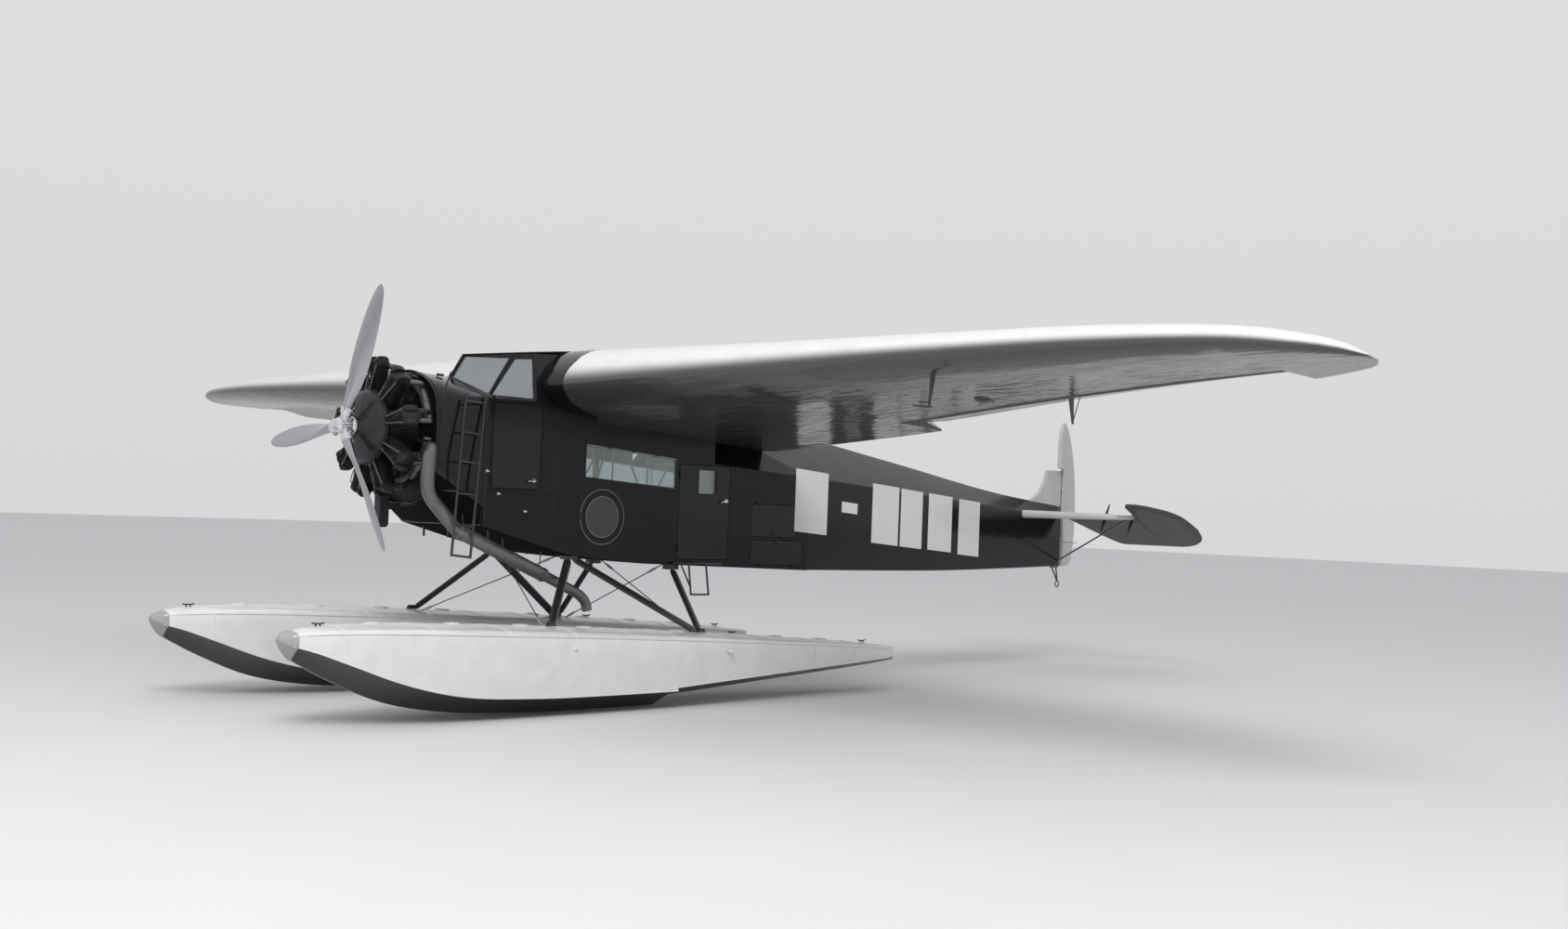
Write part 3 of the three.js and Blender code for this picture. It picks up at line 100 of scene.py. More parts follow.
def tube(path, radius, sides=12, across=None, caps=True):
    """Rings round a path. Each ring stands on the mean direction of its two neighbours, and its
    first arm is carried along so that the tube doesn't twist. `across` gives a second radius."""
    path = np.asarray(path, float)
    steps = np.diff(path, axis=0)
    steps /= np.linalg.norm(steps, axis=1)[:, None]
    radii = np.broadcast_to(np.asarray(radius, float), (len(path),))
    wide = radii if across is None else np.broadcast_to(np.asarray(across, float), (len(path),))
    start = np.array([0.0, 1.0, 0.0]) if abs(steps[0][1]) < 0.9 else np.array([0.0, 0.0, 1.0])
    side = np.cross(start, steps[0])
    rings = []
    for i, point in enumerate(path):
        along = steps[max(i - 1, 0)] + steps[min(i, len(steps) - 1)]
        along /= np.linalg.norm(along)
        side = side - along * (side @ along)
        side /= np.linalg.norm(side)
        rise = np.cross(along, side)
        turn = circle(sides)
        rings.append(point + turn[:, :1] * side * radii[i] + turn[:, 1:] * rise * wide[i])
    return loft(rings, True, caps)


def arms_of(axis):
    """The unit axis and two unit arms, square to it and to each other."""
    axis = np.asarray(axis, float) / np.linalg.norm(axis)
    start = np.array([0.0, 0.0, 1.0]) if abs(axis[2]) < 0.9 else np.array([0.0, 1.0, 0.0])
    u = np.cross(start, axis)
    u /= np.linalg.norm(u)
    return axis, u, np.cross(axis, u)


def lathe(profile, centre=(0, 0, 0), axis=(0, 1, 0), sides=32):
    """Rings of radius r at distance t along the axis, for each (r, t) of the profile."""
    axis, u, v = arms_of(axis)
    turn = circle(sides)
    rings = [
        np.asarray(centre, float) + axis * t + (turn[:, :1] * u + turn[:, 1:] * v) * max(r, 0.01)
        for r, t in profile
    ]
    return loft(rings, True, True)


def block(low, high):
    """Box between two opposite corners."""
    (x0, y0, z0), (x1, y1, z1) = low, high
    ring = [(x0, y0), (x1, y0), (x1, y1), (x0, y1)]
    return loft([[(x, y, z) for x, y in ring] for z in (z0, z1)])


def prism(axis, start, end, outline):
    """Flat outline pushed along one axis. The outline holds the two other coordinates in order."""
    k = "xyz".index(axis)
    rings = [np.insert(np.asarray(outline, float), k, t, axis=1) for t in (start, end)]
    return loft(rings)


def turned(form, point, axis, degrees):
    """Turn about an axis a through a point: p' = p cos + (a x p) sin + a (a . p)(1 - cos)."""
    corners, faces = form
    a = np.asarray(axis, float) / np.linalg.norm(axis)
    p = np.asarray(corners, float) - point
    c, s = math.cos(math.radians(degrees)), math.sin(math.radians(degrees))
    p = p * c + np.cross(a, p) * s + np.outer(p @ a, a) * (1 - c)
    return p + point, faces


def mirrored(form):
    """The same form on the other side, with its faces turned round."""
    corners, faces = form
    return np.asarray(corners, float) * [-1.0, 1.0, 1.0], [f[::-1] for f in faces]


def spline(x, xs, ys):
    """Cubic spans whose slope at each knot is the mean of its two chords, and zero at an extreme."""
    xs, ys = np.asarray(xs, float), np.asarray(ys, float)
    step = np.diff(xs)
    chord = np.diff(ys) / step
    slope = np.empty_like(ys)
    slope[1:-1] = np.where(chord[:-1] * chord[1:] > 0, (chord[:-1] + chord[1:]) / 2, 0.0)
    slope[0], slope[-1] = chord[0], chord[-1]
    inner = np.minimum(np.abs(chord[:-1]), np.abs(chord[1:])) * 3
    slope[1:-1] = np.clip(slope[1:-1], -inner, inner)
    x = np.clip(np.asarray(x, float), xs[0], xs[-1])
    i = np.clip(np.searchsorted(xs, x, side="right") - 1, 0, len(step) - 1)
    t = (x - xs[i]) / step[i]
    h = step[i]
    return (
        ys[i] * (1 + 2 * t) * (1 - t) ** 2
        + ys[i + 1] * t**2 * (3 - 2 * t)
        + slope[i] * h * t * (1 - t) ** 2
        - slope[i + 1] * h * t**2 * (1 - t)
    )


def smooth_path(points, per_span=6, closed=False):
    """Cubic curve through the points, with `per_span` steps to a span. Its slope at each point is
    half the way from the point before to the point after."""
    p = np.asarray(points, float)
    n = len(p)
    out = []
    for i in range(n if closed else n - 1):
        if closed:
            a, b, c, d = (p[(i + k) % n] for k in (-1, 0, 1, 2))
        else:
            a, b, c, d = p[max(i - 1, 0)], p[i], p[i + 1], p[min(i + 2, n - 1)]
        for t in np.arange(per_span) / per_span:
            out.append(
                0.5 * (2 * b + (c - a) * t + (2 * a - 5 * b + 4 * c - d) * t**2
                       + (3 * b - a - 3 * c + d) * t**3)
            )
    if not closed:
        out.append(p[-1])
    return np.array(out)


class Pile:
    """Forms that become one mesh: it rides a body, may stand for nodes, and has its finish's slot."""

    def __init__(self, *forms):
        self.corners, self.faces, self.count = [], [], 0
        for form in forms:
            self.add(form)

    def add(self, form, both=False):
        """One more form, and with `both` its mirror image too."""
        corners, faces = form
        self.corners.append(np.asarray(corners, float).reshape(-1, 3))
        self.faces += [tuple(i + self.count for i in f) for f in faces]
        self.count += len(self.corners[-1])
        if both:
            self.add(mirrored(form))
        return self

    def form(self):
        """All the forms so far as one."""
        return np.concatenate(self.corners), self.faces

    def make(self, name, material, body="airframe", sharp=35, stands_for=()):
        """The mesh itself, in metres."""
        data = bpy.data.meshes.new(name)
        corners, faces = self.form()
        data.from_pydata(place(corners).tolist(), [], faces)
        data.update()
        obj = bpy.data.objects.new(name, data)
        bpy.context.scene.collection.objects.link(obj)
        data.materials.append(material)
        shade(data, sharp)
        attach(obj, body)
        if stands_for:
            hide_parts(*stands_for)
        return obj


def shade(data, sharp):
    """Smooth shading, with a hard edge wherever two faces meet at more than `sharp` degrees."""
    data.polygons.foreach_set("use_smooth", [True] * len(data.polygons))
    data.set_sharp_from_angle(angle=math.radians(sharp))


# %% [markdown]
# ## Finishes
#
# Every finish is one Principled surface with a little noise: it breaks up the roughness and tints
# the colour slightly. Some finishes also sway the normal, as dents a few millimetres deep would.
# Nothing is read from a picture.

# %%
def blank_nodes(owner):
    """Empties an owner's shader and returns the two functions that add and link its new nodes."""
    owner.use_nodes = True
    owner.node_tree.nodes.clear()
    return owner.node_tree.nodes.new, owner.node_tree.links.new


def ranged(add, link, source, low, high):
    """Output that runs from low to high as the source runs from 0 to 1."""
    node = add("ShaderNodeMapRange")
    node.inputs["To Min"].default_value = low
    node.inputs["To Max"].default_value = high
    link(source, node.inputs["Value"])
    return node.outputs["Result"]


LEAST_ROUGHNESS, COAT_ROUGHNESS = 0.02, 0.06


def finish_of(name, color, metal=0.0, rough=0.4, coat=0.0, spread=0.12, grain=6.0, lift=0.0,
              lift_size=3.0, stain=0.12, slot="", gloss=0.5, stretch=(1, 1, 1), fade=None):
    """Roughness = rough + spread x (noise - 0.5), colour = color x (1 + stain x (2 noise - 1)) and
    bump height = lift x a second noise. With a shade colour given, the colour shown = shade +
    (colour - shade) x the mesh's own lit-share attribute: a painted shade where that share is low."""
    material = bpy.data.materials.new(name)
    add, link = blank_nodes(material)
    out, skin = add("ShaderNodeOutputMaterial"), add("ShaderNodeBsdfPrincipled")
    link(skin.outputs["BSDF"], out.inputs["Surface"])
    where = add("ShaderNodeTexCoord")
    noise = add("ShaderNodeTexNoise")
    noise.inputs["Scale"].default_value = grain
    noise.inputs["Detail"].default_value = 6.0
    link(where.outputs["Object"], noise.inputs["Vector"])
    tint = add("ShaderNodeVectorMath")
    tint.operation = "SCALE"
    tint.inputs[0].default_value = color
    link(ranged(add, link, noise.outputs["Fac"], 1.0 - stain, 1.0 + stain), tint.inputs["Scale"])
    shown = tint.outputs["Vector"]
    if fade:
        tone, blend = add("ShaderNodeAttribute"), add("ShaderNodeMix")
        tone.attribute_name = "tone"
        blend.data_type = "RGBA"
        blend.inputs[6].default_value = (*fade, 1)
        link(tone.outputs["Fac"], blend.inputs[0])
        link(shown, blend.inputs[7])
        shown = blend.outputs[2]
    link(shown, skin.inputs["Base Color"])
    least, most = max(rough - spread / 2, LEAST_ROUGHNESS), rough + spread / 2
    link(ranged(add, link, noise.outputs["Fac"], least, most), skin.inputs["Roughness"])
    skin.inputs["Metallic"].default_value = metal
    skin.inputs["Coat Weight"].default_value = coat
    skin.inputs["Coat Roughness"].default_value = COAT_ROUGHNESS
    skin.inputs["Specular IOR Level"].default_value = gloss
    if lift:
        wave = add("ShaderNodeTexNoise")
        wave.inputs["Scale"].default_value = lift_size
        wave.inputs["Detail"].default_value = 2.0
        bump = add("ShaderNodeBump")
        bump.inputs["Distance"].default_value = lift
        bump.inputs["Strength"].default_value = 1.0
        warp = add("ShaderNodeMapping")
        warp.inputs["Scale"].default_value = stretch
        link(where.outputs["Object"], warp.inputs["Vector"])
        link(warp.outputs["Vector"], wave.inputs["Vector"])
        link(wave.outputs["Fac"], bump.inputs["Height"])
        link(bump.outputs["Normal"], skin.inputs["Normal"])
        link(bump.outputs["Normal"], skin.inputs["Coat Normal"])
    material["slot"] = slot
    return material


def pane_finish(name, mirror):
    """Thin clear pane. It mirrors a share = mirror + (1 - mirror) x what glass mirrors at that slant."""
    material = bpy.data.materials.new(name)
    add, link = blank_nodes(material)
    out, mix = add("ShaderNodeOutputMaterial"), add("ShaderNodeMixShader")
    clear, shine, slant = (add(f"ShaderNode{k}") for k in ("BsdfTransparent", "BsdfGlossy", "Fresnel"))
    clear.inputs["Color"].default_value = (0.80, 0.84, 0.84, 1)
    shine.inputs["Roughness"].default_value = 0.03
    slant.inputs["IOR"].default_value = 1.5
    link(ranged(add, link, slant.outputs["Fac"], mirror, 1.0), mix.inputs["Fac"])
    link(clear.outputs["BSDF"], mix.inputs[1])
    link(shine.outputs["BSDF"], mix.inputs[2])
    link(mix.outputs["Shader"], out.inputs["Surface"])
    material["slot"] = "glass"
    return material


black = finish_of("black_gloss", (0.005, 0.005, 0.006), rough=0.15, coat=0.05, lift=0.003,
                  lift_size=2.2, stain=0.3, slot="black_gloss", gloss=0.24)
enamel = finish_of("black_metal", (0.006, 0.006, 0.007), rough=0.13, coat=0.15, lift=0.001,
                   lift_size=3.0, stain=0.3, slot="black_metal", gloss=0.3)
# A dead matte black for the underside: painted shade that keeps the belly and the nose's lower side dark.
underside_shade = finish_of("underside_black", (0.006, 0.006, 0.006), rough=0.85, stain=0.3,
                  slot="black_metal", gloss=0.04)
# The wing's one paint in two copies: the pale one is its lit top, the dark one a painted shade for the
# underside and the front of the leading edge.
WING_SILVER, WING_SHADED = (0.72, 0.72, 0.70), (0.05, 0.05, 0.053)
silver = finish_of("wing_silver", WING_SILVER, metal=0.1, rough=0.34, coat=0.4, lift=0.002,
                   lift_size=2.0, slot="wing_silver")
silver_shaded_edge = finish_of("wing_silver_edge", WING_SILVER, metal=0.1, rough=0.34, coat=0.4, lift=0.002,
                        lift_size=2.0, slot="wing_silver", fade=WING_SHADED)
wing_shade_finish = finish_of("wing_dark", WING_SHADED, rough=0.22, coat=0.5, lift=0.012, lift_size=7.0,
                        slot="wing_silver", stretch=(0.35, 1.6, 1))
grey = finish_of("light_grey", (0.46, 0.46, 0.44), rough=0.42, slot="light_grey")
fabric = finish_of("dark_fabric", (0.035, 0.035, 0.038), rough=0.5, coat=0.2, slot="dark_fabric")
strut = finish_of("strut_black", (0.014, 0.014, 0.015), rough=0.32, coat=0.5, slot="strut_black")
trim = finish_of("cabin_trim", (0.27, 0.23, 0.17), rough=0.8, grain=30, slot="cabin_trim")
bare = finish_of("bare_panel", (0.40, 0.40, 0.41), metal=0.8, rough=0.4, slot="bare_panel")
pane = pane_finish("screen_pane", 0.3)
cabin_pane = pane_finish("cabin_pane", 0.08)
engine_black = finish_of("engine_black", (0.016, 0.016, 0.017), metal=0.2, rough=0.42, grain=20,
                         slot="engine_black")
leather = finish_of("seat_leather", (0.07, 0.04, 0.024), rough=0.6, grain=14, slot="seat_leather")
case = finish_of("case_grey", (0.022, 0.022, 0.024), metal=0.3, rough=0.26, coat=0.15, grain=12, gloss=0.4,
                 slot="case_grey")
cast = finish_of("cast_light", (0.42, 0.42, 0.42), metal=0.5, rough=0.35, grain=12, slot="case_grey")
rod_metal = finish_of("rod_metal", (0.10, 0.10, 0.10), metal=0.5, rough=0.3, grain=12, slot="case_grey")
steel = finish_of("exhaust_steel", (0.20, 0.195, 0.19), metal=0.9, rough=0.42, grain=9, stain=0.3,
                  slot="exhaust_steel")
polished = finish_of("polished", (0.78, 0.78, 0.79), metal=1.0, rough=0.16, grain=8, stain=0.06,
                     slot="polished")
blade_metal = finish_of("blade_metal", (0.46, 0.46, 0.47), metal=1.0, rough=0.24, grain=8, stain=0.08,
                        slot="polished")
canvas = finish_of("bumper_canvas", (0.34, 0.34, 0.33), rough=0.75, grain=40, lift=0.001, lift_size=60,
                   slot="strut_black")
pale = finish_of("float_white", (0.70, 0.70, 0.68), metal=0.1, rough=0.36, coat=0.3, lift=0.002,
                 lift_size=4.0, slot="float_white")
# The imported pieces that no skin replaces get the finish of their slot
FINISH = {
    m["slot"]: m
    for m in (black, enamel, silver, grey, fabric, strut, trim, bare, pane, engine_black, leather, case,
              steel, polished, pale)
}
for row in frame["record"]["subparts"]:
    node = nodes[row["node"]]
    node.data.materials.clear()
    node.data.materials.append(FINISH[row["material_slot"]])
CABIN_PANES = ("cabin_window_port", "cabin_window_starboard", "cabin_window_starboard_rear",
               "cabin_door_window")
for name in CABIN_PANES:
    nodes[name].data.materials[0] = cabin_pane
nodes["firewall"].data.materials[0] = finish_of(
    "firewall_dark", (0.02, 0.02, 0.02), metal=0.4, rough=0.5, slot="bare_panel", gloss=0.3)


# %% [markdown]
# ## Wing
#
# The table gives the wing's plan and thickness at eight places along the half span. Between them
# each column follows a smooth curve. A section's skin height is read against the square root of the
# chord fraction, which makes the leading edge round.

# %%
WING = {
    "x": [640, 3000, 4800, 6300, 6950, 7350, 7600, 7700],
    "front": [1575, 1720, 1830, 1960, 2070, 2230, 2450, 2640],
    "back": [4400, 4120, 3890, 3610, 3400, 3190, 2980, 2790],
    "nose": [440, 520, 575, 600, 595, 570, 545, 522],
    "tail": [22, 185, 335, 430, 462, 482, 495, 506],
    "crest": [437, 316, 236, 181, 145, 108, 60, 14],
    "belly": [188, 150, 118, 85, 62, 42, 25, 10],
}
UPPER = ([0, 0.012, 0.045, 0.085, 0.14, 0.22, 0.4, 0.58, 0.76, 0.9, 1],
         [0, 0.26, 0.52, 0.74, 0.92, 1, 0.96, 0.78, 0.5, 0.24, 0.025])
LOWER = ([0, 0.015, 0.05, 0.11, 0.22, 0.37, 0.54, 0.7, 0.85, 1],
         [0, 0.42, 0.78, 0.98, 1, 0.84, 0.62, 0.45, 0.21, 0.05])
AILERON_X = (3050.0, 6930.0)
AILERON_CHORD = (480.0, 400.0)
AILERON_NOSE = (126.0, 82.0)
AILERON_GAP, AILERON_END_GAP, HINGE_RISE = 14.0, 24.0, 15.0
AILERON_REST = 10.0
WING_ROOT, WING_TIP, TIP_ROUND = 640.0, 7700.0, 100.0


def wing_at(x, smooth=True):
    """All columns of the wing table at one place along the span."""
    read = spline if smooth else np.interp
    return {k: float(read(x, WING["x"], WING[k])) for k in WING if k != "x"}


def skin_height(x, y, upper):
    """Line between the edges, plus the crest's or minus the belly's share of the section."""
    s = wing_at(x)
    f = np.clip((np.asarray(y, float) - s["front"]) / (s["back"] - s["front"]), 0, 1)
    table = UPPER if upper else LOWER
    h = spline(np.sqrt(f), np.sqrt(table[0]), table[1])
    return s["nose"] + (s["tail"] - s["nose"]) * f + h * (s["crest"] if upper else -s["belly"])


def hinge_point(k):
    """Inner (0) or outer (1) end of the hinge line: it lies HINGE_RISE above the mean of the two
    skins, whose heights are read from straight lines through the back of the section."""
    x, chord = AILERON_X[k], AILERON_CHORD[k]
    s = wing_at(x, smooth=False)
    f = 1 - chord / (s["back"] - s["front"])
    above = (0.6 - 1.8 * (f - 0.7)) * s["crest"]
    below = (0.45 - 1.6 * (f - 0.7)) * s["belly"]
    middle = s["nose"] + (s["tail"] - s["nose"]) * f + (above - below) / 2
    return np.array([x, s["back"] - chord, middle + HINGE_RISE])


HINGE = np.array([hinge_point(0), hinge_point(1)])
HINGE_AXIS = HINGE[1] - HINGE[0]


def hinge_at(x):
    """Place of the hinge line and the aileron's nose radius at x, all straight lines."""
    t = (x - HINGE[0][0]) / HINGE_AXIS[0]
    point = HINGE[0] + HINGE_AXIS * t
    return point[1], point[2], AILERON_NOSE[0] + (AILERON_NOSE[1] - AILERON_NOSE[0]) * t


def edge_of_roll(x, radius, upper):
    """Where the skin first comes within `radius` of the hinge line, or is straight above it."""
    y_hinge, z_hinge, _ = hinge_at(x)
    y = np.linspace(y_hinge - radius, y_hinge, 60)
    z = skin_height(x, y, upper)
    near = np.hypot(y - y_hinge, z - z_hinge) <= radius
    k = int(np.argmax(near)) if near.any() else -1
    return y[k], z[k]


AHEAD, BEHIND = 26, 9


def arc(y_hinge, z_hinge, radius, first, last, count):
    """Arc of the roll from one (y, z) corner to another, round its front."""
    a = math.atan2(first[1] - z_hinge, first[0] - y_hinge) % (2 * math.pi)
    b = math.atan2(last[1] - z_hinge, last[0] - y_hinge) % (2 * math.pi)
    t = np.linspace(a, b, count)
    return [(y_hinge + radius * math.cos(v), z_hinge + radius * math.sin(v)) for v in t]


def wing_ring(x, side, cove):
    """Upper skin from nose to the hinge's place, the part behind it, and the lower skin back. With
    `cove` the part behind is the hollow that the aileron's nose rolls in."""
    s = wing_at(x)
    y_hinge, z_hinge, nose = hinge_at(x)
    radius = nose + AILERON_GAP
    if AILERON_X[0] - 60 < x < AILERON_X[1] + 60:
        top, low = edge_of_roll(x, radius, True), edge_of_roll(x, radius, False)
    else:
        y = s["front"] + 0.7 * (s["back"] - s["front"])
        top, low = (y, skin_height(x, y, True)), (y, skin_height(x, y, False))
    t = np.linspace(0, 1, AHEAD) ** 2
    points = [(y, skin_height(x, y, True)) for y in s["front"] + t * (top[0] - s["front"])]
    if cove:
        points += arc(y_hinge, z_hinge, radius, top, low, BEHIND + 2)[1:-1]
    else:
        for k in range(1, BEHIND + 1):
            w = 2 * k / (BEHIND + 1)
            upper = k <= BEHIND // 2
            start, share = (top, w) if upper else (low, 2 - w)
            y = start[0] + min(share / 0.8, 1.0) * (s["back"] - start[0])
            points.append((y, float(skin_height(x, y, upper))))
    points += [(y, skin_height(x, y, False)) for y in (s["front"] + t * (low[0] - s["front"]))[:0:-1]]
    return [(side * x, float(y), float(z)) for y, z in points]


BAY_START, BAY_END = AILERON_X[0] - AILERON_END_GAP, AILERON_X[1] + AILERON_END_GAP
INNER_RINGS, BAY_RINGS, OUTER_RINGS, TIP_RINGS = 12, 24, 9, 7
span = np.concatenate([
    np.linspace(WING_ROOT, BAY_START, INNER_RINGS),
    np.linspace(BAY_START, BAY_END, BAY_RINGS),
    np.linspace(BAY_END, WING_TIP - TIP_ROUND, OUTER_RINGS),
    WING_TIP - TIP_ROUND * np.cos(np.linspace(0.35, math.pi / 2, TIP_RINGS)),
])
coves = [False] * INNER_RINGS + [True] * BAY_RINGS + [False] * (OUTER_RINGS + TIP_RINGS)
half = list(zip(span, coves))
rings = [wing_ring(x, -1, cove) for x, cove in reversed(half)]
rings += [wing_ring(x, 1, cove) for x, cove in half]
RING_COUNT = len(rings[0])
TRAILING = AHEAD + BEHIND // 2  # corner on the trailing edge's upper side
PIN_GAP, PIN_END, PIN_RADIUS = 3.3, 60.0, 18.0
wing = Pile(strip(rings, range(TRAILING)))
# The lower skin, from the trailing edge round to the nose, gets the dark copy of the wing's paint: painted
# shade.
under = Pile(strip(rings, [*range(TRAILING - 1, RING_COUNT), 0]))
axis_step = HINGE_AXIS / np.linalg.norm(HINGE_AXIS)
for end, step in ((HINGE[0], -axis_step), (HINGE[1], axis_step)):
    wing.add(tube([end + step * PIN_GAP, end + step * PIN_END], PIN_RADIUS, 16), both=True)
skin = wing.make("wing_skin", silver_shaded_edge, sharp=30, stands_for=["wing"])
# Painted shade over the front of the leading edge: the lit share rises from 0 there to 1 a little behind
SHADE_FROM, SHADE_TO = 0.5, 5.5
lit_shares = np.ones(len(skin.data.vertices))
step = np.clip((np.arange(TRAILING) - SHADE_FROM) / (SHADE_TO - SHADE_FROM), 0, 1)
lit_shares[: len(rings) * TRAILING] = np.tile(step * step * (3 - 2 * step), len(rings))
skin.data.attributes.new("tone", "FLOAT", "POINT").data.foreach_set("value", lit_shares)
under.make("wing_underside", wing_shade_finish, sharp=30)

# A black cuff rounds the leading edge where it meets the cabin
CUFF_START, CUFF_END, CUFF_LIFT, CUFF_BACK = 430.0, 880.0, 3.0, 0.2


def cuff_ring(x):
    """Skin of the wing's nose at x, pushed out a little; it reaches less far back toward its end."""
    t = max(x - WING_ROOT, 0) / (CUFF_END - WING_ROOT)
    reach = CUFF_BACK * math.sqrt(1 - 0.9 * t * t)
    lift = CUFF_LIFT * (1 - 0.9 * t**4)
    s = wing_at(x)
    f = np.linspace(-1, 1, 31)
    y = s["front"] + reach * f * f * (s["back"] - s["front"])
    z = np.where(f > 0, skin_height(x, y, True) + lift, skin_height(x, y, False) - lift)
    return [(x, float(a) - lift * (1 - abs(u)), float(b)) for a, b, u in zip(y, z, f)]


cuff = loft([cuff_ring(x) for x in [CUFF_START, *np.linspace(WING_ROOT, CUFF_END, 12)]], closed=False)
Pile().add(cuff, both=True).make("wing_root_cuffs", enamel, sharp=40)


FLAT_STEPS, ROLL_STEPS = 12, 12


def aileron_ring(x):
    """Upper skin back to the trailing edge, lower skin forward again, and round the nose."""
    s = wing_at(x)
    y_hinge, z_hinge, nose = hinge_at(x)
    top, low = edge_of_roll(x, nose, True), edge_of_roll(x, nose, False)
    t = np.linspace(0, 1, FLAT_STEPS)
    points = [(y, float(skin_height(x, y, True))) for y in top[0] + t * (s["back"] - top[0])]
    points += [(y, float(skin_height(x, y, False))) for y in (low[0] + t * (s["back"] - low[0]))[::-1]]
    points += arc(y_hinge, z_hinge, nose, low, top, ROLL_STEPS + 2)[1:-1]
    return [(x, y, z) for y, z in points]


AILERON_SIDES = (("port", AILERON_REST, False), ("starboard", -AILERON_REST, True))


def aileron_forms(forms, rest, flip):
    """The port aileron's forms turned to their rest angle, and mirrored for the other side."""
    forms = [turned(form, HINGE[0], HINGE_AXIS, rest) for form in forms]
    return [mirrored(form) for form in forms] if flip else forms


aileron_rings = [aileron_ring(x) for x in np.linspace(*AILERON_X, 24)]
nose_middle = len(aileron_rings[0]) - ROLL_STEPS // 2
top_corners = [*range(nose_middle, len(aileron_rings[0])), *range(FLAT_STEPS)]
low_corners = range(FLAT_STEPS - 1, nose_middle + 1)
# The ailerons' lower skins get the same painted shade as the wing's underside.
for corners, look, finish in ((top_corners, "skin", silver), (low_corners, "underside", wing_shade_finish)):
    form = strip(aileron_rings, corners)
    for side_name, rest, flip in AILERON_SIDES:
        Pile(*aileron_forms([form], rest, flip)).make(
            f"aileron_{side_name}_{look}", finish, f"aileron_{side_name}", 30,
            [f"aileron_{side_name}"] if look == "skin" else ())


# %% [markdown]
# ## Floats
#
# The stations carry the keel, the chine, the deck edge and the deck's crown. The bottom is a hollow
# V that breaks at the step, the sides bulge a little and the deck rolls over its edge.

# %%
FLOAT_X = 1105.0
FLOAT = np.array([
    # station, keel, chine, side, edge, crown, beam, top, rim
    (-1075, -1712, -1690, -1672, -1660, -1655, 34, 34, 20),
    (-1020, -1790, -1712, -1662, -1632, -1622, 96, 96, 62),
    (-880, -1880, -1752, -1650, -1606, -1590, 170, 172, 126),
    (-620, -2010, -1850, -1648, -1592, -1572, 250, 254, 198),
    (-200, -2178, -2005, -1656, -1590, -1566, 326, 330, 262),
    (300, -2276, -2120, -1672, -1604, -1578, 362, 366, 292),
    (1000, -2324, -2168, -1700, -1630, -1604, 372, 376, 300),
    (1600, -2335, -2178, -1724, -1656, -1630, 372, 376, 300),
    (2540, -2335, -2180, -1766, -1700, -1676, 360, 366, 292),
    (4100, -2160, -2070, -1848, -1796, -1774, 262, 270, 214),
    (5350, -2072, -2018, -1918, -1882, -1866, 120, 124, 96),
    (5690, -2040, -2010, -1950, -1916, -1906, 44, 44, 32),
], float)
STEP_STATION, STEP_DEPTH, STEP_CHINE = 2540.0, 67.0, 30.0


def float_at(y, after=None):
    """The float's columns at a station. Behind the step the keel and the chine lie higher. `after`
    says which side is meant at the step itself."""
    after = y > STEP_STATION if after is None else after
    ahead = FLOAT[:, 0] <= STEP_STATION
    table = FLOAT[ahead]
    if after:
        start = table[-1].copy()
        start[1:3] += STEP_DEPTH, STEP_CHINE
        table = np.vstack([start, FLOAT[~ahead]])
    return np.array([spline(y, table[:, 0], column) for column in table.T[1:]])


def float_ring(y, after=None):
    """Half a section from the keel over the chine to the deck's crown, and its mirror image."""
    keel, chine, side, edge, crown, beam, top, rim = float_at(y, after)
    foot = min(14.0, beam / 4)
    half = [(foot, keel)]
    for t in (0.2, 0.4, 0.6, 0.8, 0.93):
        sag = 0.10 * (chine - keel) * math.sin(math.pi * t)
        half.append((foot + (beam - foot) * t, keel + (chine - keel) * t + sag))
    half.append((beam, chine))
    for t in (0.25, 0.5, 0.75):
        half.append((beam + (top - beam) * t + 3 * math.sin(math.pi * t), chine + (side - chine) * t))
    for t in (0.0, 0.25, 0.5, 0.75, 1.0):
        turn = t * math.pi / 2
        half.append((rim + (top - rim) * math.cos(turn), side + (edge - side) * math.sin(turn)))
    for t in (0.3, 0.6, 0.85):
        half.append((rim * (1 - t), edge + (crown - edge) * math.sin(t * math.pi / 2)))
    ring = half + [(0.0, crown)] + [(-x, z) for x, z in reversed(half)]
    return [(FLOAT_X + x, y, z) for x, z in ring]


fore = np.concatenate([[-1075, -1060, -1040, -1020, -980, -930], np.linspace(-880, STEP_STATION, 30)])
aft = np.linspace(STEP_STATION, FLOAT[-1, 0], 26)
hull = [float_ring(y) for y in fore] + [float_ring(y, True) for y in aft]
CHINE, DECK_EDGE = 6, 11  # corners of the ring, counted from the keel
FAR_CHINE = len(hull[0]) - 1 - CHINE
topsides = strip(hull, range(CHINE, FAR_CHINE + 1))
bottom = strip(hull, [*range(FAR_CHINE, len(hull[0])), *range(CHINE + 1)])
for look, form, finish in (("topsides", topsides, pale), ("bottom", bottom, strut)):
    for side_name, part in (("port", form), ("starboard", mirrored(form))):
        Pile(part).make(f"float_{side_name}_{look}", finish, sharp=25,
                        stands_for=[f"float_{side_name}"] if look == "topsides" else ())


# %% [markdown]
# ## Nose shell and propeller
#
# The shell runs from a rounded ring behind the engine to the flat sides of the cabin. Each blade is
# a row of sections that turn flatter toward the tip.

# %%
NOSE_FRONT, NOSE_BACK, NOSE_SKIN = 560.0, 999.7, 14.0
NOSE_RINGS = np.array([
    [(0, -640), (330, -590), (515, -400), (540, -120), (530, 150), (470, 320), (300, 450), (0, 515)],
    [(0, -800), (560, -800), (640, -740), (640, -120), (640, 270), (600, 306), (365, 388), (0, 482)],
], float)


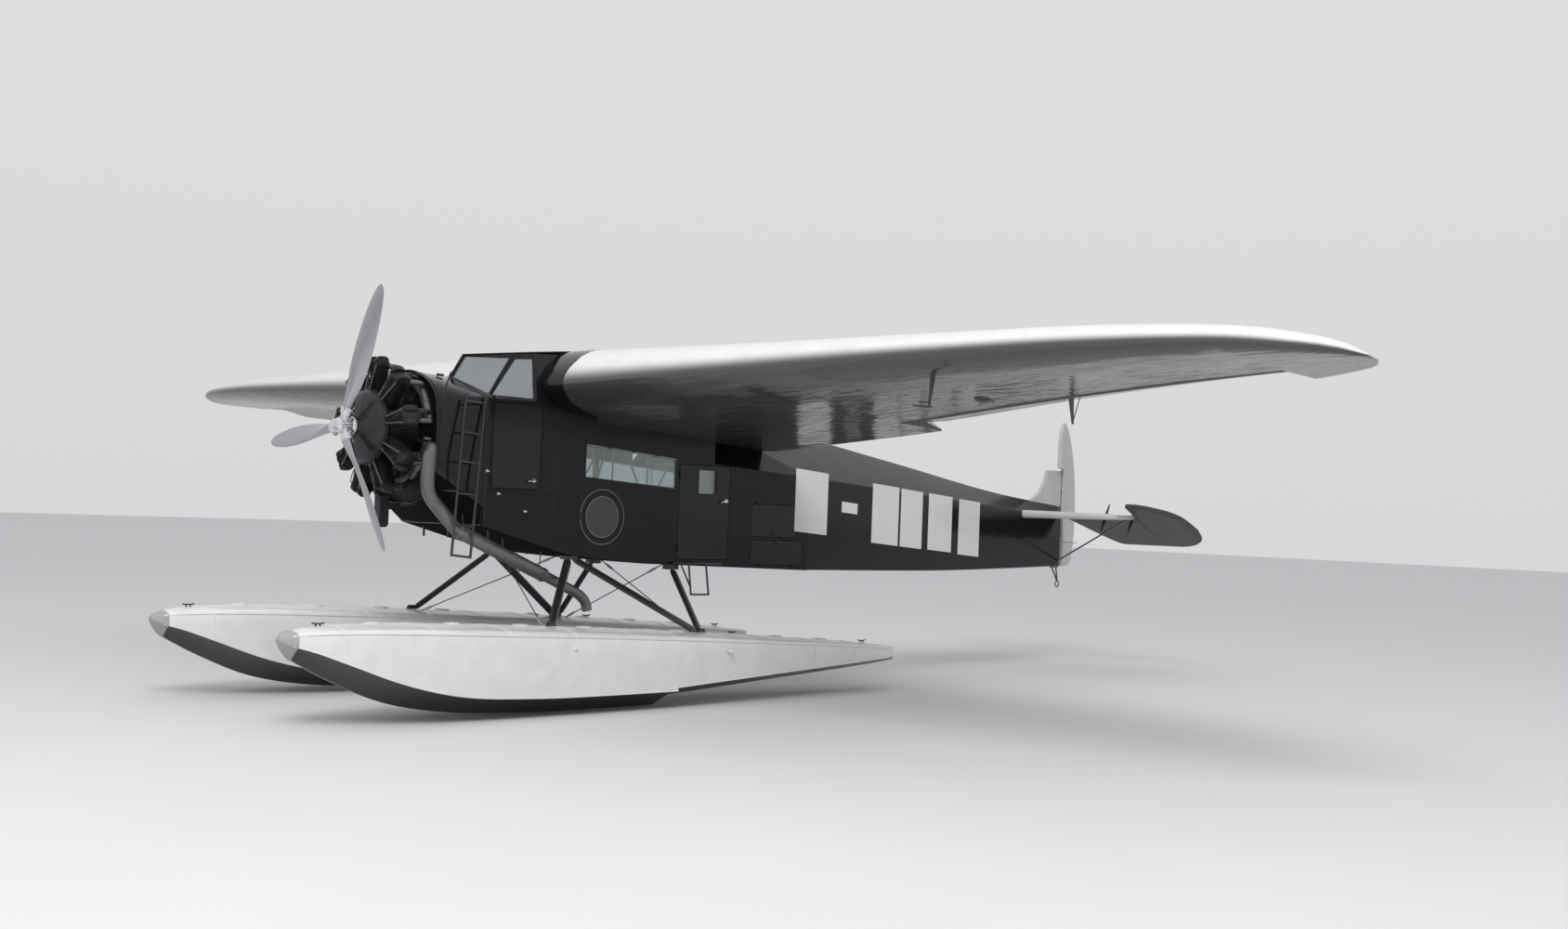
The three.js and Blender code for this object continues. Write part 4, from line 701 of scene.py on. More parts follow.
def nose_ring(t, shrink=0.0):
    """Corners between the front and back rings, rounded by a curve and pulled in by `shrink`."""
    half = NOSE_RINGS[0] * (1 - t) + NOSE_RINGS[1] * t
    whole = np.vstack([half, (half[1:-1] * [-1, 1])[::-1]])
    ring = smooth_path(whole, 5, closed=True)
    centre = np.array([0.0, -150.0])
    arm = ring - centre
    size = np.linalg.norm(arm, axis=1)[:, None]
    ring = centre + arm * (size - shrink) / size
    y = NOSE_FRONT + (NOSE_BACK - NOSE_FRONT) * t
    return [(x, y, z) for x, z in ring]


steps = np.linspace(0, 1, 6)
shell = [nose_ring(t) for t in steps[::-1]] + [nose_ring(t, NOSE_SKIN) for t in steps]
Pile(loft(shell + shell[:1], caps=False)).make("nose_skin", enamel, stands_for=["nose_shell"])

PROPELLER_REST = 24.0
BLADE_ROOT, BLADE_RADIUS = 165.0, 1255.0
BLADE = np.array([
    # distance from the axis, chord, thickness, pitch
    (165, 84, 80, 34), (250, 98, 66, 32), (380, 138, 40, 29), (560, 178, 28, 25), (760, 190, 21, 20),
    (960, 172, 15, 17), (1090, 140, 11, 16), (1180, 104, 8, 14), (1230, 66, 6, 13), (1255, 24, 5, 13),
], float)
BLADE_SECTION = [
    (-0.5, 0), (-0.42, 0.42), (-0.2, 0.68), (0.05, 0.66), (0.3, 0.4), (0.5, 0),
    (0.3, -0.26), (0.05, -0.34), (-0.2, -0.34), (-0.42, -0.22),
]


def blade():
    """Sections that turn with the pitch as they go out from the hub."""
    section = smooth_path(BLADE_SECTION, 3, closed=True)
    rings = []
    for r in np.concatenate([np.linspace(BLADE_ROOT, 1180, 26), np.linspace(1200, BLADE_RADIUS, 6)]):
        chord, thick, pitch = (spline(r, BLADE[:, 0], BLADE[:, k]) for k in (1, 2, 3))
        c, q = math.cos(math.radians(pitch)), math.sin(math.radians(pitch))
        u, v = section[:, 0] * chord, section[:, 1] * thick
        rings.append(np.stack([u * c + v * q, u * q - v * c, np.full(len(u), r)], 1))
    return loft(rings)


ORIGIN, SPIN = (0.0, 0.0, 0.0), (0.0, 1.0, 0.0)
BLADE_COUNT = 3
for k in range(BLADE_COUNT):
    angle = PROPELLER_REST + 360 * k / BLADE_COUNT
    Pile(turned(blade(), ORIGIN, SPIN, angle)).make(
        f"blade_{k + 1}_skin", blade_metal, "propeller", 50, [f"propeller_blade_{k + 1}"])


# %% [markdown]
# ## Rear fuselage and its markings
#
# A box of cloth over longerons: flat sides, a crease, and two flats that rise to the ridge. Its
# corners are rounded by short arcs. The markings are plain pale blocks laid on the flat side.

# %%
REAR = {
    "y": [4900, 7000, 8700, 9900],
    "half": [640, 400, 192, 50],
    "bottom": [-1160, -1172, -1150, -1122],
    "crease": [-225, -346, -443, -512],
    "ridge": [298, -9, -258, -368],
}


def rear_at(y):
    """All columns of the rear table at one station."""
    return {k: float(spline(y, REAR["y"], REAR[k])) for k in REAR if k != "y"}


def rounded(corners, radii, steps=4):
    """Each corner of a closed outline becomes an arc-like curve that starts and ends `radius` away."""
    p = np.asarray(corners, float)
    out = []
    for i, corner in enumerate(p):
        before, after = p[i - 1] - corner, p[(i + 1) % len(p)] - corner
        far = min(np.linalg.norm(before), np.linalg.norm(after)) * 0.45
        r = min(radii[i], far)
        a = corner + before / np.linalg.norm(before) * r
        b = corner + after / np.linalg.norm(after) * r
        for t in np.linspace(0, 1, steps + 1):
            out.append(a * (1 - t) ** 2 + 2 * corner * t * (1 - t) + b * t**2)
    return np.array(out)


RIDGE_HALF, LOW_ROUND, HIGH_ROUND = 16.0, 26.0, 14.0


def rear_ring(y):
    """Six corners of the box at a station, each rounded."""
    s = rear_at(y)
    x = s["half"]
    outline = [(-x, s["bottom"]), (x, s["bottom"]), (x, s["crease"]), (RIDGE_HALF, s["ridge"]),
               (-RIDGE_HALF, s["ridge"]), (-x, s["crease"])]
    ring = rounded(outline, [LOW_ROUND] * 2 + [HIGH_ROUND] * 4)
    return [(u, y, v) for u, v in ring]


CABIN_SIDE, CABIN_END, TAIL_END = 640.0, 4900.0, 9900.0
Pile(loft([rear_ring(y) for y in np.linspace(CABIN_END + 0.3, TAIL_END, 34)])).make(
    "rear_skin", black, sharp=28, stands_for=["rear_fuselage"])


def side_x(y):
    """Half width of the flat side at any station behind the nose."""
    return CABIN_SIDE if y <= CABIN_END else float(spline(y, REAR["y"], REAR["half"]))


MARK_SLOPE, MARK_LIFT, MARK_SINK = -0.066, 1.2, 2.0


def side_mark(y0, y1, z0, z1):
    """A thin sheet on the port side between two stations. Its top and bottom fall toward the tail."""
    rings = []
    for y in sorted({*np.linspace(y0, y1, 5).tolist(), min(max(CABIN_END, y0), y1)}):
        fall = MARK_SLOPE * (y - y0)
        inner, outer = side_x(y) - MARK_SINK, side_x(y) + MARK_LIFT
        rings.append([(inner, y, z0 + fall), (outer, y, z0 + fall),
                      (outer, y, z1 + fall), (inner, y, z1 + fall)])
    return loft(rings)


# The plain blocks: first and last station, bottom and top at the first station
MARKS = [
    (4700, 5200, -770, -140), (5440, 5710, -560, -450), (5970, 6450, -870, -240),
    (6490, 6900, -905, -278), (7020, 7490, -935, -310), (7630, 8070, -985, -355),
]
marking = finish_of("marking", (0.60, 0.60, 0.58), rough=0.3, coat=0.6, stain=0.05, slot="float_white")
marks = Pile()
for mark in MARKS:
    marks.add(side_mark(*mark), both=True)
marks.make("side_marks", marking)


# %% [markdown]
# ## Tail surfaces
#
# A leaf is a row of ribs. At each rib the section runs from a round front edge to a thin back edge,
# and the cloth between two ribs sinks by a millimetre or two.

# %%
TAIL_Z, ELEVATOR_Y, RUDDER_Y = -492.0, 9930.0, 10010.0
ELEVATOR_REST, RUDDER_REST = -27.0, 27.0


NOSE_CHORD = 700.0  # the chord that the nose's share is counted for
EDGE_HALF = 0.8  # least half thickness


def leaf(places, front, back, thick, put, ribs=0.0, sag=1.6, nose=0.03, end=0.25, count=16):
    """Section half height = thick/2 x shape(f): a quarter circle, sqrt(g (2 - g)) with g = f / nose,
    then a straight taper to `end` at the back. Between ribs the cloth sinks by `sag`. `put` turns
    (place, along, up) into a point."""
    rings = []
    f = np.linspace(0, 1, count) ** 1.6
    for s in places:
        a, b = front(s), back(s)
        dip = sag * abs(math.sin(math.pi * s / ribs)) if ribs else 0.0
        length = max(b - a, 1.0)
        half = min(thick(s), length * 0.5) / 2
        nose_f = min(nose * NOSE_CHORD / length, 0.5)
        g = np.clip(f / nose_f, 0, 1)
        rise = np.where(f < nose_f, np.sqrt(g * (2 - g)), 1 - (1 - end) * (f - nose_f) / (1 - nose_f))
        h = np.maximum(rise * half - dip * np.sin(math.pi * np.clip(f, 0, 1)), EDGE_HALF)
        top = [put(s, a + u * length, v) for u, v in zip(f, h)]
        low = [put(s, a + u * length, -v) for u, v in zip(f[::-1], h[::-1])]
        rings.append(top + low[:-1])
    return loft(rings)


def upright(s, along, up):
    """For the rudder: places are heights, and the leaf runs aft from its hinge."""
    return up, RUDDER_Y + along, s


def level(s, along, up):
    """For the elevator: places run out along the span."""
    return s, ELEVATOR_Y + along, TAIL_Z + up


RUDDER_BACK = ([-1120, -1070, -930, -720, -450, -180, 90, 330, 520, 640, 672],
               [520, 720, 880, 975, 1000, 960, 850, 660, 420, 180, 20])
RUDDER_HORN = ([86, 330, 505, 620, 672], [-300, -298, -245, -150, -40])
low_part = np.concatenate([[-1120, -1112, -1100], np.linspace(-1080, 86, 34)])
high_part = np.concatenate([np.linspace(86, 560, 16), [590, 615, 635, 650, 661, 668, 672]])
rudder = Pile(
    leaf(low_part, lambda s: -24.0, lambda s: spline(s, *RUDDER_BACK), lambda s: 50, upright, 165),
    leaf(high_part, lambda s: spline(s, *RUDDER_HORN), lambda s: spline(s, *RUDDER_BACK),
         lambda s: 50 if s < 560 else max(50 * math.sqrt((674 - s) / 114), 6), upright, 165),
)
STRAP_HEIGHTS = (-160.0, 30.0)
for z in STRAP_HEIGHTS:
    rudder.add(block((-4, RUDDER_Y - 8, z - 9), (4, RUDDER_Y + 60, z + 9)))
# The rudder's horn is a level plate: x, and distance aft of the hinge
HORN_PLATE = [(0, -6), (200, 12), (200, 30), (0, 80), (-200, 30), (-200, 12)]
rudder.add(prism("z", -828, -820, [(x, RUDDER_Y + y) for x, y in HORN_PLATE]))
Pile(turned(rudder.form(), (0, RUDDER_Y, 0), (0, 0, 1), RUDDER_REST)).make(
    "rudder_skin", grey, "rudder", 40, ["rudder"])

ELEVATOR_BACK = ([105, 520, 620, 1380, 1540, 1700, 1820, 1868],
                 [40, 672, 704, 704, 676, 590, 440, 262])
ELEVATOR_HORN = ([1186, 1330, 1560, 1740, 1850, 1868], [-318, -308, -225, -105, 70, 236])
inner = np.concatenate([np.linspace(105, 520, 14), np.linspace(560, 1186, 18)])
outer = np.concatenate([np.linspace(1186, 1740, 18), [1775, 1805, 1830, 1850, 1862, 1868]])
elevator = Pile()
elevator.add(leaf(inner, lambda s: -28.0, lambda s: spline(s, *ELEVATOR_BACK), lambda s: 56, level, 150),
             both=True)
elevator.add(leaf(outer, lambda s: spline(s, *ELEVATOR_HORN), lambda s: spline(s, *ELEVATOR_BACK),
                  lambda s: 56 if s < 1740 else max(56 * (1870 - s) / 130, 8), level, 150), both=True)
ELEVATOR_HINGE = (0, ELEVATOR_Y, TAIL_Z)
elevator.add(tube([(-240, ELEVATOR_Y, TAIL_Z), (240, ELEVATOR_Y, TAIL_Z)], 17, 20))
Pile(turned(elevator.form(), ELEVATOR_HINGE, (1, 0, 0), ELEVATOR_REST)).make(
    "elevator_skin", fabric, "elevator", 40, ["elevator"])
# Each horn is an upright plate below and above the leaf: distances aft of and below the hinge
HORN_PLATE = [(-10, 20), (52, 20), (26, 190), (12, 190)]
horns = Pile()
for x in (700.0, 1090.0):
    for way in (-1, 1):
        plate = prism("x", x - 3, x + 3, [(ELEVATOR_Y + y, TAIL_Z + way * z) for y, z in HORN_PLATE])
        horns.add(turned(plate, ELEVATOR_HINGE, (1, 0, 0), ELEVATOR_REST), both=True)
horns.make("elevator_horns", strut, "elevator")

# The tailplane's place along the span, front edge and thickness
TAILPLANE = ([0, 700, 1060, 1165], [8960, 9200, 9370, 9500], [96, 84, 74, 60])
TAILPLANE_BACK, FIN_BACK = 9885.0, 9954.0
stations = np.concatenate([np.linspace(0, 1060, 16), [1090, 1115, 1135, 1150, 1160, 1165]])
plane = Pile()
for side in (1, -1):
    plane.add(leaf(
        stations, lambda s: float(spline(s, *TAILPLANE[:2])), lambda s: TAILPLANE_BACK,
        lambda s: float(np.interp(s, TAILPLANE[0], TAILPLANE[2])),
        lambda s, along, up: (side * s, along, TAIL_Z + up), 210, 1.4, 0.06, 0.72))
for x in (620.0, 1090.0):
    plane.add(block((x - 11, 9870, TAIL_Z - 13), (x + 11, ELEVATOR_Y - 30, TAIL_Z + 13)), both=True)
plane.make("tailplane_skin", grey, sharp=40, stands_for=["tailplane"])

FIN = ([-376, -340, -262, -170, -60, 62], [9240, 9290, 9440, 9545, 9618, 9655])
heights = np.concatenate([np.linspace(-376, 40, 18), [52, 59, 62]])
Pile(leaf(heights, lambda s: float(spline(s, *FIN)), lambda s: FIN_BACK,
          lambda s: 44 if s < 50 else 44 * math.sqrt(max(66 - s, 4) / 16),
          lambda s, along, up: (up, along, s), 140, 1.0, 0.05, 0.8)).make(
    "fin_skin", grey, sharp=40, stands_for=["fin"])


# %% [markdown]
# ## Engine
#
# Nine cylinders stand round the crankcase. One is made pointing up, and the others are the same
# form turned about the propeller axis. Fins are thin discs on one lathed profile.

# %%
CYLINDERS = 9
CYLINDER_Y = 312.0


def around(forms, count=CYLINDERS, start=0.0):
    """Every form `count` times, evenly turned round the propeller axis from the angle `start`."""
    pile = Pile()
    for k in range(count):
        for form in forms:
            pile.add(turned(form, ORIGIN, SPIN, start + 360 * k / count))
    return pile


def finned(start, end, pitch, root, tip):
    """Profile corners of a stack of fins. Each tip is 0.3 of the pitch thick."""
    corners = []
    for r in np.arange(start, end, pitch):
        corners += [(root, r), (tip, r + 0.35 * pitch), (tip, r + 0.65 * pitch), (root, r + pitch)]
    return corners


def bolt_ring(centre, axis, radius, count, size, height, start=0.0):
    """Hexagonal heads on a circle round an axis, from the angle `start` on."""
    axis, u, v = arms_of(axis)
    head_profile = [(0, 0), (size, 0), (size, height), (size * 0.8, height * 1.2), (0, height * 1.2)]
    heads = []
    for k in range(count):
        t = start + 2 * math.pi * k / count
        spot = np.asarray(centre, float) + radius * (math.cos(t) * u + math.sin(t) * v)
        heads.append(lathe(head_profile, spot, axis, 6))
    return heads


barrel = lathe([(0, 240), (92, 240), (92, 250), (64, 254)] + finned(258, 432, 12.4, 64, 81)
               + [(70, 436), (70, 444)], (0, CYLINDER_Y, 0), (0, 0, 1), 28)
head = lathe([(0, 442)] + finned(444, 560, 11.6, 66, 89) + [(60, 564), (52, 574), (30, 580), (0, 580)],
             (0, CYLINDER_Y, 0), (0, 0, 1), 28)
box_outline = rounded([(-70, 526), (46, 526), (46, 586), (18, 604), (-42, 604), (-70, 580)],
                      [6, 6, 16, 16, 16, 16], 3)
cylinder = [barrel, head]
# Two rocker boxes on each head: a box, a smaller lid on both its sides, and a cap on its front
ROCKER_X, BOX_HALF, LID_RISE, LID_SHARE = 56.0, 20.0, 4.0, 0.9
box_outline += [CYLINDER_Y, 0]
box_middle = [CYLINDER_Y - 12, 566]
lid_outline = (box_outline - box_middle) * LID_SHARE + box_middle
for x in (-ROCKER_X, ROCKER_X):
    left, right = x - BOX_HALF, x + BOX_HALF
    cylinder.append(prism("x", left, right, box_outline))
    cylinder.append(prism("x", left - LID_RISE, left, lid_outline))
    cylinder.append(prism("x", right, right + LID_RISE, lid_outline))
    cylinder.append(lathe([(0, 0), (13, 0), (13, 8), (9, 12), (0, 12)], (x, 246, 560), (0, -1, 0), 10))
cylinder += bolt_ring((0, CYLINDER_Y, 250), (0, 0, 1), radius=86, count=10, size=6, height=7,
                      start=-math.pi / 2)
cylinder.append(lathe([(0, -60), (26, -60), (26, -20), (34, -8), (0, -8)], (-44, 430, 536), SPIN, 16))
row = around(cylinder)
row.add(lathe([(240.5, -60), (254, -60), (254, 60), (240.5, 60), (240.5, -60)],
              (0, CYLINDER_Y, 0), SPIN, 72))
row.make("cylinder_row_skin", engine_black, sharp=30, stands_for=["cylinder_row"])

rods = []
for side in (-1, 1):
    low, high = (side * 26, 212, 306), (side * 57, 250, 528)
    rods.append(tube([low, high], 8.5, 12))
    rods.append(tube([low, (side * 30, 217, 336)], 13, 12))
    rods.append(tube([(side * 52, 244, 494), high], 12, 12))
around(rods).make("pushrods", rod_metal, sharp=40)

INTAKE_PATH = [(-52, 556, 262), (-58, 578, 330), (-56, 560, 430), (-50, 490, 515), (-44, 415, 536)]
around([tube(smooth_path(INTAKE_PATH, 5), 21, 14)]).make("intake_pipes", engine_black, sharp=40)

PLUG_PROFILE = [(0, 0), (11, 0), (11, 14), (7, 16), (7, 34), (4, 38), (0, 38)]
LEAD_PATH = [(0, 222, 326), (12, 212, 350), (18, 196, 430), (10, 192, 490), (0, 198, 504)]
LEAD_RING, LEAD_RING_Y = 316.0, 229.0
full_turn = np.linspace(0, 2 * math.pi, 73)
plugs = around([lathe(PLUG_PROFILE, (0, 234, 504), (0, -1, 0), 10), tube(smooth_path(LEAD_PATH, 4), 4, 8)])
plugs.add(tube([(LEAD_RING * math.sin(t), LEAD_RING_Y, LEAD_RING * math.cos(t)) for t in full_turn], 8, 10))
plugs.make("ignition_leads", engine_black, sharp=40)

# Nose ring, domed front, flange, the part behind the cylinders, and the rear case
CASE_PROFILE = [
    (0, 86.3), (44, 86.3), (44, 91), (94, 91), (100, 95), (120, 100), (160, 105), (204, 114),
    (244, 128), (276, 144), (300, 164), (313, 186), (316, 200), (320, 203), (320, 216), (316, 219),
    (314, 224), (300, 226), (240, 229), (240, 488), (280, 498), (280, 545), (262, 552),
    (210, 560), (210, 639.7), (0, 639.7),
]
crank = Pile(lathe(CASE_PROFILE, ORIGIN, SPIN, 72))
bosses = [tube([(x, 200, 268), (x * 1.04, 213, 318)], 17, 12) for x in (-25.0, 25.0)]
crank.add(around(bosses).form())
flange_bolts = bolt_ring((0, 194, 0), (0, -1, 0), radius=306, count=27, size=6, height=7)
nose_bolts = bolt_ring((0, 97, 0), (0, -1, 0), radius=84, count=12, size=6, height=6)
for form in flange_bolts + nose_bolts:
    crank.add(form)
rib = prism("x", -3, 3, [(98, 108), (112, 204), (140, 268), (160, 268), (124, 150), (106, 108)])
crank.add(around([rib], 6, 30).form())
crank.make("crankcase_skin", case, sharp=28, stands_for=["crankcase"])

scoop_outline = rounded([(352, -842), (440, -842), (440, -560), (350, -560)], [6, 46, 12, 12])
scoop = Pile(prism("x", -45, 45, scoop_outline))
scoop.add(block((-35, 430, -690), (35, 559.7, -630)))
scoop.add(block((-49, 346, -838), (49, 354, -740)))
scoop.make("scoop_skin", engine_black, stands_for=["intake_scoop"])


# %% [markdown]
# ## Propeller hub
#
# A steel spider: three sockets, each with a clamp ring and two bolts, round a short barrel with a
# nut on its nose.

# %%
HUB_PROFILE = [
    (0, -112), (30, -112), (34, -108), (36, -96), (46, -94), (46, -88), (52, -70), (60, -58),
    (66, -50), (66, 50), (78, 58), (80, 62), (80, 86), (0, 86),
]
SOCKET_PROFILE = [
    (0, 0), (46, 0), (46, 96), (50, 104), (50, 116), (57, 120), (57, 150), (50, 154),
    (48, 164.7), (0, 164.7),
]
CLAMP_X = 62.0
hub = Pile(lathe(HUB_PROFILE, ORIGIN, SPIN, 40))
hub.add(lathe([(0, -104), (40, -104), (40, -94), (0, -94)], ORIGIN, SPIN, 6))
socket = [lathe(SOCKET_PROFILE, ORIGIN, (0, 0, 1), 32)]
for x in (-CLAMP_X, CLAMP_X):
    socket.append(block((x - 10, -14, 122), (x + 10, 14, 148)))
    socket.append(tube([(x, -26, 135), (x, 26, 135)], 6, 8))
hub.add(around(socket, BLADE_COUNT, PROPELLER_REST).form())
hub.make("hub_skin", polished, "propeller", 35, ["propeller_hub"])


# %% [markdown]
# ## Exhaust
#
# The collector is a tube bent round the engine. Each stub leaves the back of a cylinder head. The
# pipe swells, bends down beside the nose and passes through a wide heater sleeve to its outlet.

# %%
COLLECTOR_RADIUS, COLLECTOR_Y, COLLECTOR_TUBE = 455.0, 536.0, 38.0
COLLECTOR_FROM, COLLECTOR_SWEEP = 104.0, 340.0
BAND_HALF, BAND_RISE = 9.0, 4.0


def on_collector(angle):
    """Middle of the collector's tube at an angle in radians from the top toward port."""
    return np.array([COLLECTOR_RADIUS * math.sin(angle), COLLECTOR_Y, COLLECTOR_RADIUS * math.cos(angle)])


angles = np.radians(np.linspace(COLLECTOR_FROM, COLLECTOR_FROM + COLLECTOR_SWEEP, 96))
collector = Pile(tube([on_collector(t) for t in angles], COLLECTOR_TUBE, 20))
STUB_PATH = [(30, 376, 526), (30, 440, 526), (28, 512, 514), (20, 534, 470)]
collector.add(around([tube(smooth_path(STUB_PATH, 5), 23, 16)]).form())
for k in range(CYLINDERS):
    band = math.radians(360 * (k + 0.5) / CYLINDERS)
    step = np.array([math.cos(band), 0, -math.sin(band)]) * BAND_HALF
    spot = on_collector(band)
    collector.add(tube([spot - step, spot + step], COLLECTOR_TUBE + BAND_RISE, 20))
collector.make("collector_skin", steel, sharp=40, stands_for=["exhaust_collector"])

PIPE_PATH = [(428, 536, -156), (560, 498, -152), (636, 456, -186), (668, 420, -260), (670, 412, -440),
             (664, 450, -570), (672, 575, -705), (690, 700, -838)]
PIPE_RADII = [34, 46, 54, 58, 58, 58, 58, 56]
SLEEVE = np.array([(690, 716, -846), (640, 1660, -1222)], float)
TAIL_PATH = [(622, 1960, -1345), (612, 2075, -1400), (606, 2140, -1460), (604, 2165, -1530)]
path = smooth_path(PIPE_PATH, 6)
radii = spline(np.linspace(0, 7, len(path)), range(8), PIPE_RADII)
pipe = Pile(tube(path, radii, 28))
reach = float(np.linalg.norm(SLEEVE[1] - SLEEVE[0]))
along = (SLEEVE[1] - SLEEVE[0]) / reach
pipe.add(lathe([(46, -30), (50, -6), (60, 6), (60, reach - 10), (52, reach + 2), (46, reach + 4)],
               SLEEVE[0], along, 32))
for t in (26, 330, 640, reach - 34):
    pipe.add(lathe([(60, t - 9), (63, t - 8), (63, t + 8), (60, t + 9)], SLEEVE[0], along, 32))
end_path = smooth_path([tuple(SLEEVE[1] - along * 20)] + TAIL_PATH, 6)
OUTLET_SIDES, MOUTH_SHARE = 24, 0.93
outlet = tube(end_path, 46, OUTLET_SIDES, caps=False)
pipe.add(outlet)
pipe.make("exhaust_pipe_skin", steel, sharp=40, stands_for=["exhaust_pipe"])
# The pipe's dark inside: its rim, a smaller ring there, and the same ring further in, closed
rim = outlet[0][-OUTLET_SIDES:]
mouth = (rim - end_path[-1]) * MOUTH_SHARE
corners, faces = loft([rim, mouth + end_path[-1], mouth + end_path[-4]], caps=False)
faces.append(tuple(range(2 * OUTLET_SIDES, 3 * OUTLET_SIDES)))
Pile((corners, faces)).make("exhaust_mouth", engine_black, sharp=40)
hangers = Pile()
for t, top in ((0.06, -700), (0.5, -905), (0.93, -1010)):
    spot = SLEEVE[0] + (SLEEVE[1] - SLEEVE[0]) * t
    hangers.add(tube([spot + [0, 0, 58], (640, spot[1] + 10, max(top, spot[2] + 120))], 5, 8))
hangers.make("sleeve_hangers", case, sharp=40)


# %% [markdown]
# ## Cabin sides
#
# Thin frames round the windows, the steel tubes behind them, seams and rivets, the plain rings on
# each side, handles, and the beads round the windscreen.

# %%
def window_frame(corners, width, x0, x1, radius=10.0):
    """Flat frame round a closed (station, height) outline: its outer edge lies `width` outside."""
    inner = rounded(corners, [radius] * len(corners), 3)
    middle = (inner.max(0) + inner.min(0)) / 2
    half = (inner.max(0) - inner.min(0)) / 2
    outer = middle + (inner - middle) * (half + width) / half
    loops = [(outer, x0), (outer, x1), (inner, x1), (inner, x0), (outer, x0)]
    return loft([[(x, y, z) for y, z in loop] for loop, x in loops], caps=False)


CABIN_WINDOW = [(2060, -334), (3126, -402), (3126, -137), (2060, -56)]
REAR_WINDOW = [(3180, -405), (4230, -470), (4230, -225), (3180, -140)]  # starboard only
DOOR_WINDOW = [(3408, -437), (3630, -437), (3630, -215), (3408, -215)]
FRAME_WIDTH, FRAME_RISE = 15.0, 3.0
frames = Pile()
frames.add(window_frame(CABIN_WINDOW, FRAME_WIDTH, CABIN_SIDE, CABIN_SIDE + FRAME_RISE), both=True)
frames.add(mirrored(window_frame(REAR_WINDOW, FRAME_WIDTH, CABIN_SIDE, CABIN_SIDE + FRAME_RISE)))
frames.make("cabin_window_frames", enamel)
# A pale rail above the long window, in four lengths with short gaps
RAIL_START, RAIL_END = np.array([CABIN_SIDE + 5, 2050, -47]), np.array([CABIN_SIDE + 5, 3140, -130])
RAIL_LENGTHS, RAIL_RADIUS = 4, 6
rail = Pile()
for k in range(RAIL_LENGTHS):
    shares = (k / RAIL_LENGTHS + 0.01, (k + 1) / RAIL_LENGTHS - 0.02)
    rail.add(tube([RAIL_START + (RAIL_END - RAIL_START) * t for t in shares], RAIL_RADIUS, 8), both=True)
rail.make("cabin_window_rails", cast)
Pile(window_frame(DOOR_WINDOW, 12, CABIN_SIDE, CABIN_SIDE + 2.5)).make(
    "cabin_door_window_frame", enamel, "cabin_door")

# Steel tubes of the cabin frame behind the long windows: lower end and upper end
TRUSS = [
    ((2235, -345), (2140, -50)), ((2235, -345), (2310, -66)), ((2397, -352), (2402, -72)),
    ((2700, -372), (2550, -84)), ((2808, -378), (2811, -104)), ((2945, -388), (3100, -126)),
]
TRUSS_X = 594.0
truss = Pile()
for low, high in TRUSS:
    truss.add(tube([(TRUSS_X, *low), (TRUSS_X, *high)], 9, 10), both=True)
truss.add(tube([(TRUSS_X, 2050, -40), (TRUSS_X, 3140, -122)], 12, 10), both=True)
truss.add(tube([(TRUSS_X, 2050, -352), (TRUSS_X, 3140, -402)], 12, 10), both=True)
truss.make("cabin_frame_tubes", cast)

# A thin batten covers each upright seam of the metal panels: station, lower end, upper end
SEAMS = [(1003, -700, 284), (1700, -960, 262), (2010, -1030, 60), (3880, -1060, -180)]
SEAM_WIDTH, SEAM_RISE = 12.0, 1.6
seams = Pile()
for y, low, high in SEAMS:
    seams.add(block((CABIN_SIDE - 1, y, low), (CABIN_SIDE + SEAM_RISE, y + SEAM_WIDTH, high)), both=True)
# Half-round beads that run along the side: first and last (station, height)
BELT = [((1010, 276), (1570, 268)), ((1010, -496), (1700, -520)), ((1700, 120), (2060, -20))]
BELT_RADIUS = 3.5
for first, last in BELT:
    seams.add(tube([(CABIN_SIDE, *first), (CABIN_SIDE, *last)], BELT_RADIUS, 8), both=True)
seams.make("panel_seams", enamel)

# Rows of small round rivet heads along the seams and the lower edge of the metal panels
RIVET_PITCH, RIVET_RADIUS = 62.0, 3.2
PORTWARD = (1, 0, 0)
rivets = Pile()


def rivet(y, z):
    """Round head on the flat side."""
    profile = [(RIVET_RADIUS, -0.5), (RIVET_RADIUS * 0.8, 1.2), (0, 1.9)]
    return lathe(profile, (CABIN_SIDE, y, z), PORTWARD, 6)


for y, low, high in SEAMS[:2]:
    for z in np.arange(low + 20, high - 10, RIVET_PITCH):
        for shift in (-12.0, 24.0):
            rivets.add(rivet(y + shift, z), both=True)
FLOOR_LINE = ([1000, 1530, 1900, 2750, 4900], [-800, -942, -1035, -1105, -1160])
RIVET_HEIGHT = 24.0
for y in np.arange(1040, 1690, RIVET_PITCH):
    rivets.add(rivet(y, float(np.interp(y, *FLOOR_LINE)) + RIVET_HEIGHT), both=True)
rivets.make("panel_rivets", enamel)

